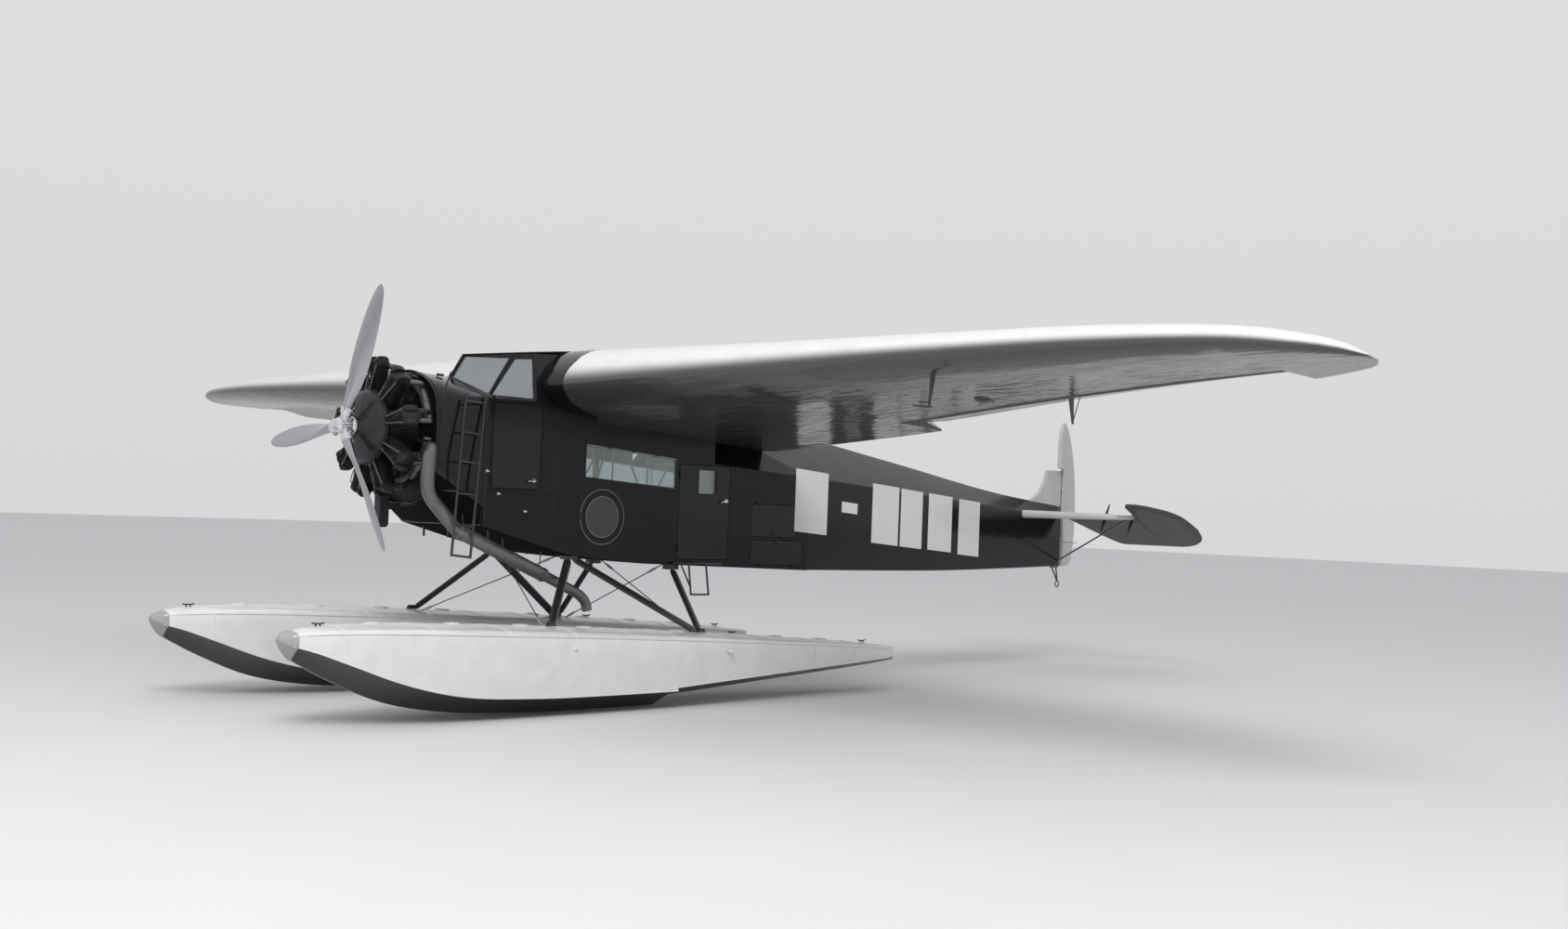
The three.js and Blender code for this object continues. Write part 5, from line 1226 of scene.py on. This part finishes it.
# Two thin pale rings on each side, and a dark disc inside the smaller one
DISC_SPOT = (CABIN_SIDE, 2267.0, -690.0)
RING_RADII, RING_WIDTH, DISC_GAP = (250.0, 187.0), 6.0, 7.0
side_rings, side_disc = Pile(), Pile()
for radius in RING_RADII:
    inner = radius - RING_WIDTH
    profile = [(radius, -1), (radius, 1.5), (inner, 1.5), (inner, -1), (radius, -1)]
    side_rings.add(lathe(profile, DISC_SPOT, PORTWARD, 72), both=True)
disc_radius = RING_RADII[1] - DISC_GAP
side_disc.add(lathe([(disc_radius, -1), (disc_radius, 0.8), (0, 0.8)], DISC_SPOT, PORTWARD, 64), both=True)
thin_paint = finish_of("ring_paint", (0.16, 0.16, 0.16), rough=0.35, slot="light_grey")
dark_paint = finish_of("disc_paint", (0.022, 0.022, 0.024), rough=0.3, coat=0.4, slot="black_gloss")
side_rings.make("side_rings", thin_paint)
side_disc.make("side_discs", dark_paint)


def lever(y, z, reach, drop):
    """A door handle: round plate, short spindle, and a lever that reaches along the side and drops."""
    x = CABIN_SIDE
    path = [(x + 20, y, z), (x + 22, y + reach * 0.5, z - drop * 0.3), (x + 20, y + reach, z - drop)]
    return [
        lathe([(0, 0), (19, 0), (19, 4), (12, 7), (0, 7)], (x, y, z), PORTWARD, 18),
        lathe([(8, 5), (8, 24), (0, 26)], (x, y, z), PORTWARD, 12),
        tube(smooth_path(path, 4), [8] * 8 + [5], 10),
    ]


Pile(*lever(3762, -500, -80, 12)).make("cabin_door_handle", polished, "cabin_door")
cockpit_lever = lever(1500, -392, -70, 10)
Pile(*cockpit_lever).make("cockpit_door_handle_port", polished, "cockpit_door_port")
Pile(*[mirrored(form) for form in cockpit_lever]).make(
    "cockpit_door_handle_starboard", polished, "cockpit_door_starboard")
for name, y, z in (("upper", 4420, -800), ("lower", 4460, -892)):
    Pile(*lever(y, z, 50, 0)).make(f"baggage_door_{name}_handle", case, f"baggage_door_{name}")
KNOB_PROFILE = [(0, -1), (12, -1), (12, 3), (7, 5), (9, 12), (13, 18), (9, 25), (0, 27)]
knobs = Pile()
for y, z in ((1133, -520), (1414, -663), (1010, -330)):
    knobs.add(lathe(KNOB_PROFILE, (CABIN_SIDE, y, z), PORTWARD, 16))
knobs.make("foot_knobs", polished)

# Round beads along the roof's front edge, the foot of the screen and its pillars. A corner of the
# canopy is (x, station) at each of the two heights, and leans evenly between them.
CANOPY_LOW = {"centre": (0, 897), "pillar": (365, 1164), "rear": (630, 1500)}
CANOPY_HIGH = {"centre": (0, 1146), "pillar": (365, 1413), "rear": (485, 1565)}
CANOPY_HEIGHTS = (290.5, 700.0)


def canopy_point(name, z, out=0.0):
    """Corner of the leaning screen at a height, moved outward by `out`."""
    t = (z - CANOPY_HEIGHTS[0]) / (CANOPY_HEIGHTS[1] - CANOPY_HEIGHTS[0])
    low, high = np.array(CANOPY_LOW[name], float), np.array(CANOPY_HIGH[name], float)
    x, y = low + (high - low) * t
    return np.array([x + out * 0.6, y - out * 0.8, z])


beads = Pile()
roof_edge = [canopy_point("centre", 697), canopy_point("pillar", 722), canopy_point("rear", 736)]
screen_foot = [canopy_point("centre", 472, 2), canopy_point("pillar", 318, 2), canopy_point("rear", 296, 2)]
beads.add(tube(roof_edge + [(485, 1940, 775)], 9, 10), both=True)
beads.add(tube(screen_foot, 7, 8), both=True)
beads.add(tube([canopy_point("pillar", 318, 3), canopy_point("pillar", 720, 3)], 9, 10), both=True)
beads.add(tube([canopy_point("rear", 300, 2), canopy_point("rear", 736, 2)], 8, 10), both=True)
beads.add(tube([canopy_point("centre", 474, 3), canopy_point("centre", 697, 3)], 10, 10))
beads.make("screen_beads", enamel)

# A slanted rod and a filler cap on the cowl, and the straps that fasten the cowl
cowl = Pile()
cowl.add(tube([(505, 622, 236), (505, 640, 330), (505, 702, 492)], [10, 10, 8], 10))
cowl.add(lathe([(0, -6), (34, -6), (34, 8), (28, 14), (0, 14)], (180, 800, 482), (0.2, -0.05, 1), 20))
cowl.make("cowl_rod_and_cap", strut)
straps = Pile()
for t in (0.06, 0.94):
    ring = np.array(nose_ring(t, -1.5))
    straps.add(tube(np.vstack([ring, ring[:1]]), 4.5, 6, caps=False))
straps.make("cowl_straps", enamel)


# %% [markdown]
# ## Under the cabin
#
# The float struts with the plates at both their ends, and tightening barrels on the stay wires.

# %%
FOOT_FRONT, FOOT_REAR = np.array([1095.0, 1410, -1640]), np.array([1095.0, 3100, -1728])
HEAD_FRONT, HEAD_REAR = np.array([590.0, 1950, -1048]), np.array([590.0, 3140, -1128])
STRUTS = [(FOOT_FRONT, HEAD_FRONT), (FOOT_REAR, HEAD_FRONT), (FOOT_REAR, HEAD_REAR)]


def streamlined(start, end, chord, thick, taper=60.0):
    """Strut whose section is an oval with its long side fore and aft, thinner at both ends."""
    size = np.linalg.norm(end - start)
    along = (end - start) / size
    side = np.cross(along, [0.0, 1.0, 0.0])
    side /= np.linalg.norm(side)
    fore = np.cross(side, along)
    half = [(0, 0.42), (taper * 0.4, 0.46), (taper, 0.9), (taper * 1.4, 1.0)]
    rings = []
    turn = circle(24)
    for d, share in half + [(size - d, share) for d, share in half[::-1]]:
        across = turn[:, :1] * side * thick / 2 * min(share * 1.1, 1)
        rings.append(start + along * d + across + turn[:, 1:] * fore * chord / 2 * share)
    return loft(rings)


def rounded_plate(x, y, half_x, half_y, low, high, radius):
    """Level plate with rounded corners round a middle (x, y)."""
    x0, x1, y0, y1 = x - half_x, x + half_x, y - half_y, y + half_y
    return prism("z", low, high, rounded([(x0, y0), (x1, y0), (x1, y1), (x0, y1)], [radius] * 4, 3))


STRUT_CHORD, STRUT_THICK, BOLT_STEP, BOLT_HALF = 76.0, 36.0, 44.0, 17.0
EAR_SHIFT, EAR_HALF = 12.0, 3.0
legs = Pile()
for foot, head in STRUTS:
    along = (head - foot) / np.linalg.norm(head - foot)
    legs.add(streamlined(foot + along * 14, head - along * 10, STRUT_CHORD, STRUT_THICK))
    for spot in (foot + along * BOLT_STEP, head - along * BOLT_STEP):
        legs.add(tube([spot - [BOLT_HALF, 0, 0], spot + [BOLT_HALF, 0, 0]], 8, 6))
# A plate on the float's deck under each foot, with two upright ears that hold the strut's bolt
for x, y, z in (FOOT_FRONT, FOOT_REAR):
    deck = z - 8
    legs.add(rounded_plate(x, y, 60, 80, deck - 18, deck + 6, 14))
    ear = [(y - 60, deck + 4), (y + 60, deck + 4), (y + 28, deck + 62), (y - 28, deck + 62)]
    for middle in (x - EAR_SHIFT, x + EAR_SHIFT):
        legs.add(prism("x", middle - EAR_HALF, middle + EAR_HALF, ear))
for (x, y, _), low, high in ((HEAD_FRONT, -1076, -1046), (HEAD_REAR, -1160, -1112)):
    legs.add(rounded_plate(x, y, 44, 68, low, high, 12))
for side_name, form in (("port", legs.form()), ("starboard", mirrored(legs.form()))):
    Pile(form).make(f"float_struts_{side_name}_skin", strut, sharp=40,
                    stands_for=[f"float_struts_{side_name}"])

BARREL_PROFILE = [(5, -70), (8, -66), (8, -44), (11, -34), (12, 0), (11, 34), (8, 44), (8, 66), (5, 70)]
barrels = Pile()
for foot, head in ((FOOT_FRONT, HEAD_FRONT), (FOOT_REAR, HEAD_REAR)):
    low = np.array([foot[0] - 95, foot[1], foot[2] - 10])
    high = np.array([90 - head[0], head[1], head[2] + 20])
    length = np.linalg.norm(high - low)
    along = (high - low) / length
    for distance in (150.0, length - 190):
        barrels.add(lathe(BARREL_PROFILE, low + along * distance, along, 12), both=True)
barrels.make("wire_barrels", cast, sharp=40)


# %% [markdown]
# ## Fittings of the floats
#
# Rails along the deck's edges, strips along the chines, battens over the bulkheads, round hatches,
# cleats, capped sockets on the sides and a soft bumper at the bow.

# %%
UPRIGHT = (0, 0, 1)


def float_line(corner, stations, out=0.0, up=0.0, side=1):
    """Points along one corner of the float's ring, moved out and up."""
    points = []
    for y in stations:
        x, _, z = float_ring(float(y))[corner]
        points.append((FLOAT_X + side * (x - FLOAT_X + out), y, z + up))
    return points


def deck_crown(y):
    """Height of the deck's middle line."""
    return float(float_at(float(y))[4])


RAIL_FROM, RAIL_TO, STEP_MARGIN = -1010.0, 5600.0, 3.0
rails, battens, hatches, cleats = Pile(), Pile(), Pile(), Pile()
for side in (1, -1):
    deck_line = float_line(DECK_EDGE, np.linspace(RAIL_FROM, RAIL_TO, 60), 1.0, 4.0, side)
    rails.add(tube(deck_line, 7, 8), both=True)
    for first, last in ((RAIL_FROM, STEP_STATION - STEP_MARGIN), (STEP_STATION + STEP_MARGIN, RAIL_TO)):
        chine_line = float_line(CHINE, np.linspace(first, last, 40), 1.5, 0.0, side)
        rails.add(tube(chine_line, 6, 8), both=True)
rails.make("float_rails", pale, sharp=40)
BULKHEADS = [-640, 60, 760, 1410, 2010, 2530, 3100, 3720, 4340, 4960]
for y in BULKHEADS:
    upper = float_ring(float(y))[CHINE + 1 : FAR_CHINE]
    battens.add(tube(upper, 3.6, 6), both=True)
battens.make("float_battens", pale)
HATCHES = [-300, 420, 1090, 1750, 2800, 3420, 4040, 4640]
HATCH_PROFILE = [(0, -6), (72, -6), (72, 4), (66, 7), (62, 4), (0, 4)]
LATCHES, LATCH_RADIUS = 3, 52.0
for y in HATCHES:
    top = deck_crown(y)
    hatches.add(lathe(HATCH_PROFILE, (FLOAT_X, y, top), UPRIGHT, 32), both=True)
    for k in range(LATCHES):
        t = 2 * math.pi * k / LATCHES + 0.5
        spot = (FLOAT_X + LATCH_RADIUS * math.cos(t), y + LATCH_RADIUS * math.sin(t), top)
        hatches.add(lathe([(7, 0), (7, 9), (0, 11)], spot, UPRIGHT, 8), both=True)
hatches.make("float_hatches", pale, sharp=40)
# Cleats: a bar with raised ends, distance along and height, on two short posts
CLEATS = [-760, 3480, 5250]
CLEAT_BAR, POST_SHIFT = [(-52, 24), (-20, 19), (20, 19), (52, 24)], 18.0
for y in CLEATS:
    top = deck_crown(y)
    bar = smooth_path([(FLOAT_X, y + away, top + up) for away, up in CLEAT_BAR], 4)
    cleats.add(tube(bar, 6, 8), both=True)
    for post in (y - POST_SHIFT, y + POST_SHIFT):
        cleats.add(tube([(FLOAT_X, post, top - 14), (FLOAT_X, post, top + 20)], 7, 8), both=True)
cleats.make("float_cleats", strut, sharp=40)
CAP_PROFILE, CAP_X = [(24, -30), (24, 0), (21, 10), (13, 19), (0, 22)], 1474.0
sockets = Pile()
for y, z in ((1387, -1780), (3150, -1853)):
    sockets.add(lathe(CAP_PROFILE, (CAP_X, y, z), PORTWARD, 20), both=True)
sockets.make("float_sockets", pale, sharp=40)
# The bumper is a hood over the bow's own rings, BUMPER_OUT outside them
BUMPER_OUT, BUMPER_LAST = 4.0, -975.0
hood = []
for y in (-1075, -1068, -1055, -1036, -1010, BUMPER_LAST):
    ring = np.array(float_ring(float(y)))
    middle = ring.mean(0)
    arm = ring - middle
    stretch = 1 + BUMPER_OUT / np.linalg.norm(arm, axis=1)[:, None]
    hood.append(middle - [0, BUMPER_OUT, 0] + arm * stretch)
Pile().add(loft(hood), both=True).make("bow_bumpers", canvas, sharp=60)


# %% [markdown]
# ## Wing fittings
#
# Lamps at the wing's tips, the mast with its air speed tubes under the port wing, the covers of the
# control pulleys, and the ailerons' horns.

# %%
LAMP_PROFILE = [(0, -26), (10, -22), (17, -8), (17, 10), (9, 22), (0, 25)]
tip_lamp = lathe(LAMP_PROFILE, (7540, 2790, 512), (0.9, -0.4, 0), 16)
Pile().add(tip_lamp, both=True).make("wing_tip_lamps", polished, sharp=60)
MAST_X = 4740.0
mast_top = float(skin_height(MAST_X, 2000, False)) + 10
mast = Pile(tube([(MAST_X, 1995, mast_top), (MAST_X, 1975, 300), (MAST_X, 1960, 205)], [15, 11, 8], 12,
                 across=[26, 16, 10]))
mast.add(tube([(MAST_X, 1990, 208), (MAST_X, 1850, 206), (MAST_X, 1790, 206)], [7, 6, 5], 10))
mast.add(tube([(MAST_X, 1980, 236), (MAST_X, 1850, 236)], 5, 8))
mast.make("air_speed_mast", strut, sharp=50)
PULLEY_X, PULLEY_Y = 4400.0, 3000.0
COVER_PROFILE = [(0, -120), (22, -90), (34, -30), (36, 20), (24, 90), (0, 150)]
pulley_spot = (PULLEY_X, PULLEY_Y, float(skin_height(PULLEY_X, PULLEY_Y, False)))
pulley_cover = lathe(COVER_PROFILE, pulley_spot, (0, 1, -0.02), 20)
# The covers under the wing get the wing's painted shade.
Pile().add(pulley_cover, both=True).make("pulley_blisters", wing_shade_finish, sharp=60)
# Aileron horn: an arm below the hinge, an arm above it and a stay, as distances aft of and above it
HORN_X, HORN_HALF = 4960.0, 3.0
LOWER_ARM = [(-18, 0), (60, 0), (16, -262), (-6, -262)]
UPPER_ARM = [(26, 60), (86, 60), (48, 210), (32, 210)]
HORN_STAY = [(4, -256), (150, -40)]
y_hinge, z_hinge, _ = hinge_at(HORN_X)
horn = []
for arm in (LOWER_ARM, UPPER_ARM):
    outline = [(y_hinge + y, z_hinge + z) for y, z in arm]
    horn.append(prism("x", HORN_X - HORN_HALF, HORN_X + HORN_HALF, outline))
horn.append(tube([(HORN_X, y_hinge + y, z_hinge + z) for y, z in HORN_STAY], 4, 6))
for side_name, rest, flip in AILERON_SIDES:
    Pile(*aileron_forms(horn, rest, flip)).make(
        f"aileron_{side_name}_horn", strut, f"aileron_{side_name}")


# %% [markdown]
# ## Inside the cabin
#
# A thin matte black skin under the cabin and the nose is a painted shade: it keeps the underside
# dark. Above it stand padded seats on steel tube frames, a panel with plain round dials, and two
# control wheels.

# %%
# Matte black sheets just below the floor and on the nose's lower side: painted shade.
BELLY_GAP, BELLY_SKIN, BELLY_HALF = 0.4, 1.4, 639
belly = [(y, float(np.interp(y, *FLOOR_LINE)) - BELLY_GAP) for y in (1001, 1530, 1900, 2750, 4899)]
belly += [(y, z - BELLY_SKIN) for y, z in belly[::-1]]
Pile(prism("x", -BELLY_HALF, BELLY_HALF, belly)).make("belly_skin", underside_shade)
CHIN = range(-11, 12)  # corners of the nose shell that face down
# Rings of the sheet under the nose: place from front 0 to back 1, and distance inside the shell
CHIN_RINGS = ((0.02, -1.2), (0.98, -1.2), (0.98, -0.4), (0.02, -0.4))
chin = [[nose_ring(t, inside)[k] for k in CHIN] for t, inside in CHIN_RINGS]
Pile(loft(chin + chin[:1], closed=False)).make("nose_underside", underside_shade)


CUSHION_STEPS, PULL = 17, 0.03
GROOVE_DEPTH, GROOVE_WIDTH = 0.16, 0.035  # shares of the half thickness and of the half width


def cushion(middle, across, along, rise, size, channels=0):
    """Pillow: half thickness = thickness / 2 x ((1 - u^6)(1 - v^6))^0.4. Its sides are pulled in by
    PULL between the corners, and it is grooved where the sewn channels run."""
    width, depth, thick = size
    s = np.sin(np.linspace(-1, 1, CUSHION_STEPS) * math.pi / 2)
    u, v = np.meshgrid(s, s, indexing="ij")
    swell = np.clip((1 - u**6) * (1 - v**6), 0, 1) ** 0.4
    for k in range(channels):
        groove = -1 + 2 * (k + 1) / (channels + 1)
        swell = swell * (1 - GROOVE_DEPTH * np.exp(-(((u - groove) / GROOVE_WIDTH) ** 2)))
    flat = (np.multiply.outer(u * (1 - PULL * (1 - v**2)) * width / 2, across)
            + np.multiply.outer(v * (1 - PULL * (1 - u**2)) * depth / 2, along)) + middle
    up = np.multiply.outer(swell * thick / 2, rise)
    n = len(s)
    corners = np.concatenate([(flat + up).reshape(-1, 3), (flat - up).reshape(-1, 3)])
    faces = []
    for i in range(n - 1):
        for j in range(n - 1):
            a = i * n + j
            faces.append((a, a + n, a + n + 1, a + 1))
            faces.append((a + n * n, a + n * n + 1, a + n * n + n + 1, a + n * n + n))
    rim = [i * n for i in range(n)] + [(n - 1) * n + j for j in range(1, n)]
    rim += [i * n + n - 1 for i in range(n - 2, -1, -1)] + [j for j in range(n - 2, 0, -1)]
    for a, b in zip(rim, rim[1:] + rim[:1]):
        faces.append((a, b, b + n * n, a + n * n))
    return corners, faces


SEAT_DEPTH, SEAT_HIP, SEAT_LEAN = 430.0, 370.0, 120.0
PAD, BACK_PAD = 96.0, 78.0
SEAT_TUBE, SIDE_MARGIN, END_MARGIN, TUBE_DROP = 11, 22, 20, 110
PILOT_CHANNELS, BENCH_CHANNELS, PAD_FILL = 4, 9, 0.7


def seat(name, x0, x1, y, height, back_top, channels, node):
    """Tube frame that stands for the solid seat, with a seat pad and a leaning back pad."""
    wide, centre = x1 - x0, (x0 + x1) / 2
    left, right = x0 + SIDE_MARGIN, x1 - SIDE_MARGIN
    front, back, tube_z = y + END_MARGIN, y + SEAT_DEPTH - END_MARGIN, height - TUBE_DROP
    floor_z = float(np.interp(y + SEAT_DEPTH, *FLOOR_LINE)) + 26
    back_low = np.array([0, back, height - 60])
    back_high = np.array([0, y + SEAT_DEPTH + SEAT_LEAN - 30, height + back_top - 14])
    legs = Pile()
    for x in (left, right):
        legs.add(tube([(x, front, tube_z), (x, back, tube_z)], SEAT_TUBE, 10))
        legs.add(tube([(x, front, floor_z), (x, front, tube_z + 10)], SEAT_TUBE, 10))
        legs.add(tube([(x, back, floor_z), back_low + [x, 0, 0], back_high + [x, 0, 0]], SEAT_TUBE, 10))
    for spot in ((front, tube_z), (back, tube_z), tuple(back_high[1:])):
        legs.add(tube([(left, *spot), (right, *spot)], SEAT_TUBE, 10))
    legs.make(f"{name}_tubes", strut, sharp=50, stands_for=[node])
    back_length = float(np.linalg.norm(back_high - back_low))
    lean = (back_high - back_low) / back_length
    across, along, up = [1.0, 0, 0], [0, 1.0, 0], [0, 0, 1.0]
    seat_middle = np.array([centre, y + SEAT_HIP / 2 + 8, height - PAD / 2])
    back_middle = (back_low + back_high) / 2 + [centre, -30, 16]
    pads = {
        "pad": cushion(seat_middle, across, along, up, (wide - 16, SEAT_HIP, PAD), channels),
        "back_pad": cushion(back_middle, across, lean, np.cross(lean, across),
                            (wide - 20, back_length - 20, BACK_PAD), channels),
    }
    for part, form in pads.items():
        Pile(form).make(f"{name}_{part}", leather, sharp=60)


seat("pilot_port", 90, 530, 1120, -370, 465, PILOT_CHANNELS, "pilot_seat_port")
seat("pilot_starboard", -530, -90, 1120, -370, 465, PILOT_CHANNELS, "pilot_seat_starboard")
seat("bench_front", -560, 560, 2280, -620, 230, BENCH_CHANNELS, "bench_seat_front")
seat("bench_rear", -560, 560, 3345, -690, 230, BENCH_CHANNELS, "bench_seat_rear")

# Plain round dials on the panel: x, height, radius; each has a rim, a face, twelve ticks and a hand
PANEL_Y, TICKS = 1046.3, 12
DIALS = [(-420, 190, 44), (-300, 190, 44), (-180, 185, 52), (180, 185, 52), (300, 190, 44), (420, 190, 44),
         (-60, 200, 36), (60, 200, 36), (-60, 110, 36), (60, 110, 36)]
rims, faces, scales = Pile(), Pile(), Pile()
for x, z, radius in DIALS:
    spot = (x, PANEL_Y, z)
    rim_profile = [(radius, -3), (radius, 7), (radius - 5, 8), (radius - 5, 3), (radius, -3)]
    rims.add(lathe(rim_profile, spot, SPIN, 36))
    faces.add(lathe([(radius - 4, -3), (radius - 4, 2.5), (0, 2.5)], spot, SPIN, 36))
    for k in range(TICKS):
        t = 2 * math.pi * k / TICKS
        ends = [(x + r * math.sin(t), PANEL_Y + 3.2, z + r * math.cos(t)) for r in (radius - 14, radius - 8)]
        scales.add(tube(ends, 1.3, 4))
    hand = [(x, PANEL_Y + 4, z), (x + 0.6 * radius, PANEL_Y + 4, z + 0.35 * radius)]
    scales.add(tube(hand, 1.8, 4))
rims.make("dial_rims", polished)
faces.make("dial_faces", engine_black)
scales.make("dial_scales", marking)

# Control wheels: a leaning rim, three spokes and a bent column down to the floor
WHEEL_SPOT, WHEEL_RADIUS, WHEEL_LEAN, SPOKES = (310.0, 1150.0, -40.0), 145.0, 30.0, 3


def on_wheel(angle):
    """Point on the rim at an angle from its top."""
    x, y, z = WHEEL_SPOT
    across, up = WHEEL_RADIUS * math.sin(angle), math.cos(angle)
    return (x + across, y - WHEEL_LEAN * up, z + WHEEL_RADIUS * up)


wheels = Pile()
wheels.add(tube([on_wheel(t) for t in np.linspace(0, 2 * math.pi, 49)], 11, 10), both=True)
for k in range(SPOKES):
    wheels.add(tube([WHEEL_SPOT, on_wheel(2 * math.pi * k / SPOKES)], 7, 8), both=True)
column = [WHEEL_SPOT, (310, 1100, -60), (310, 1085, -420), (310, 1085, -790)]
wheels.add(tube(column, [20, 20, 17, 17], 12), both=True)
wheels.make("control_wheels", strut, sharp=40)


# %% [markdown]
# ## Floor, light and camera
#
# A plain pale floor under the keels, a bright overcast sky, and one large soft lamp from the port
# bow. The camera stands where the photograph was taken from: low, close and ahead of the port wing.

# %%
FLOOR_REACH, FLOOR_DROP = 90.0, 0.002
floor_square = [(-FLOOR_REACH, -FLOOR_REACH), (FLOOR_REACH, -FLOOR_REACH),
                (FLOOR_REACH, FLOOR_REACH), (-FLOOR_REACH, FLOOR_REACH)]
floor_data = bpy.data.meshes.new("floor")
floor_data.from_pydata([(x, y, -FLOOR_DROP) for x, y in floor_square], [], [(0, 1, 2, 3)])
floor = bpy.data.objects.new("floor", floor_data)
bpy.context.scene.collection.objects.link(floor)
floor_data.materials.append(
    finish_of("floor_pale", (0.62, 0.62, 0.62), rough=0.7, grain=0.6, stain=0.03))

world = bpy.data.worlds.new("sky")
bpy.context.scene.world = world
add, link = blank_nodes(world)
sky_out, sky = add("ShaderNodeOutputWorld"), add("ShaderNodeBackground")
where, height, ramp = (add(f"ShaderNode{k}") for k in ("TexCoord", "SeparateXYZ", "ValToRGB"))
link(where.outputs["Generated"], height.inputs["Vector"])
link(height.outputs["Z"], ramp.inputs["Fac"])
# Grey at the horizon, brighter from three quarters of the way up
SKY = ((0.0, (0.80, 0.81, 0.82, 1)), (0.75, (0.90, 0.92, 0.95, 1)))
for stop, (position, color) in zip(ramp.color_ramp.elements, SKY):
    stop.position = position
    stop.color = color
link(ramp.outputs["Color"], sky.inputs["Color"])
sky.inputs["Strength"].default_value = 0.85
link(sky.outputs["Background"], sky_out.inputs["Surface"])


def lamp(name, spot, aim, size, power):
    """Square soft lamp at a point, turned to face another."""
    data = bpy.data.lights.new(name, "AREA")
    data.size = size
    data.energy = power
    obj = bpy.data.objects.new(name, data)
    obj.location = spot
    direction = Vector(aim) - Vector(spot)
    obj.rotation_euler = direction.to_track_quat("-Z", "Y").to_euler()
    obj.visible_glossy = False
    bpy.context.scene.collection.objects.link(obj)
    return obj


lamp("key", (11.0, -13.0, 15.0), (0.0, -1.0, 1.5), 9.0, 2600)

# The camera's place in metres, its angles in radians, and its focal length in the photograph's pixels
CAMERA_SPOT = (12.6231, -12.0313, 1.7477)
CAMERA_YAW = 0.79992
CAMERA_PITCH = 0.0286
CAMERA_ROLL = -0.03844
FOCAL_PIXELS = 1807.0
PICTURE_WIDTH = 1688.0
SENSOR_WIDTH = 36.0
camera_data = bpy.data.cameras.new("camera")
camera_data.sensor_width = SENSOR_WIDTH
camera_data.lens = SENSOR_WIDTH * FOCAL_PIXELS / PICTURE_WIDTH
camera_data.clip_start, camera_data.clip_end = 0.1, 500.0
camera = bpy.data.objects.new("camera", camera_data)
bpy.context.scene.collection.objects.link(camera)
look = np.array([
    -math.cos(CAMERA_PITCH) * math.sin(CAMERA_YAW),
    math.cos(CAMERA_PITCH) * math.cos(CAMERA_YAW),
    math.sin(CAMERA_PITCH),
])
right = np.cross(look, [0.0, 0.0, 1.0])
right /= np.linalg.norm(right)
down = np.cross(look, right)
roll_cos, roll_sin = math.cos(CAMERA_ROLL), math.sin(CAMERA_ROLL)
right, down = roll_cos * right + roll_sin * down, -roll_sin * right + roll_cos * down
camera.matrix_world = Matrix([
    [right[0], -down[0], -look[0], CAMERA_SPOT[0]],
    [right[1], -down[1], -look[1], CAMERA_SPOT[1]],
    [right[2], -down[2], -look[2], CAMERA_SPOT[2]],
    [0, 0, 0, 1],
])
bpy.context.scene.camera = camera
bpy.context.scene.view_settings.view_transform = "Standard"
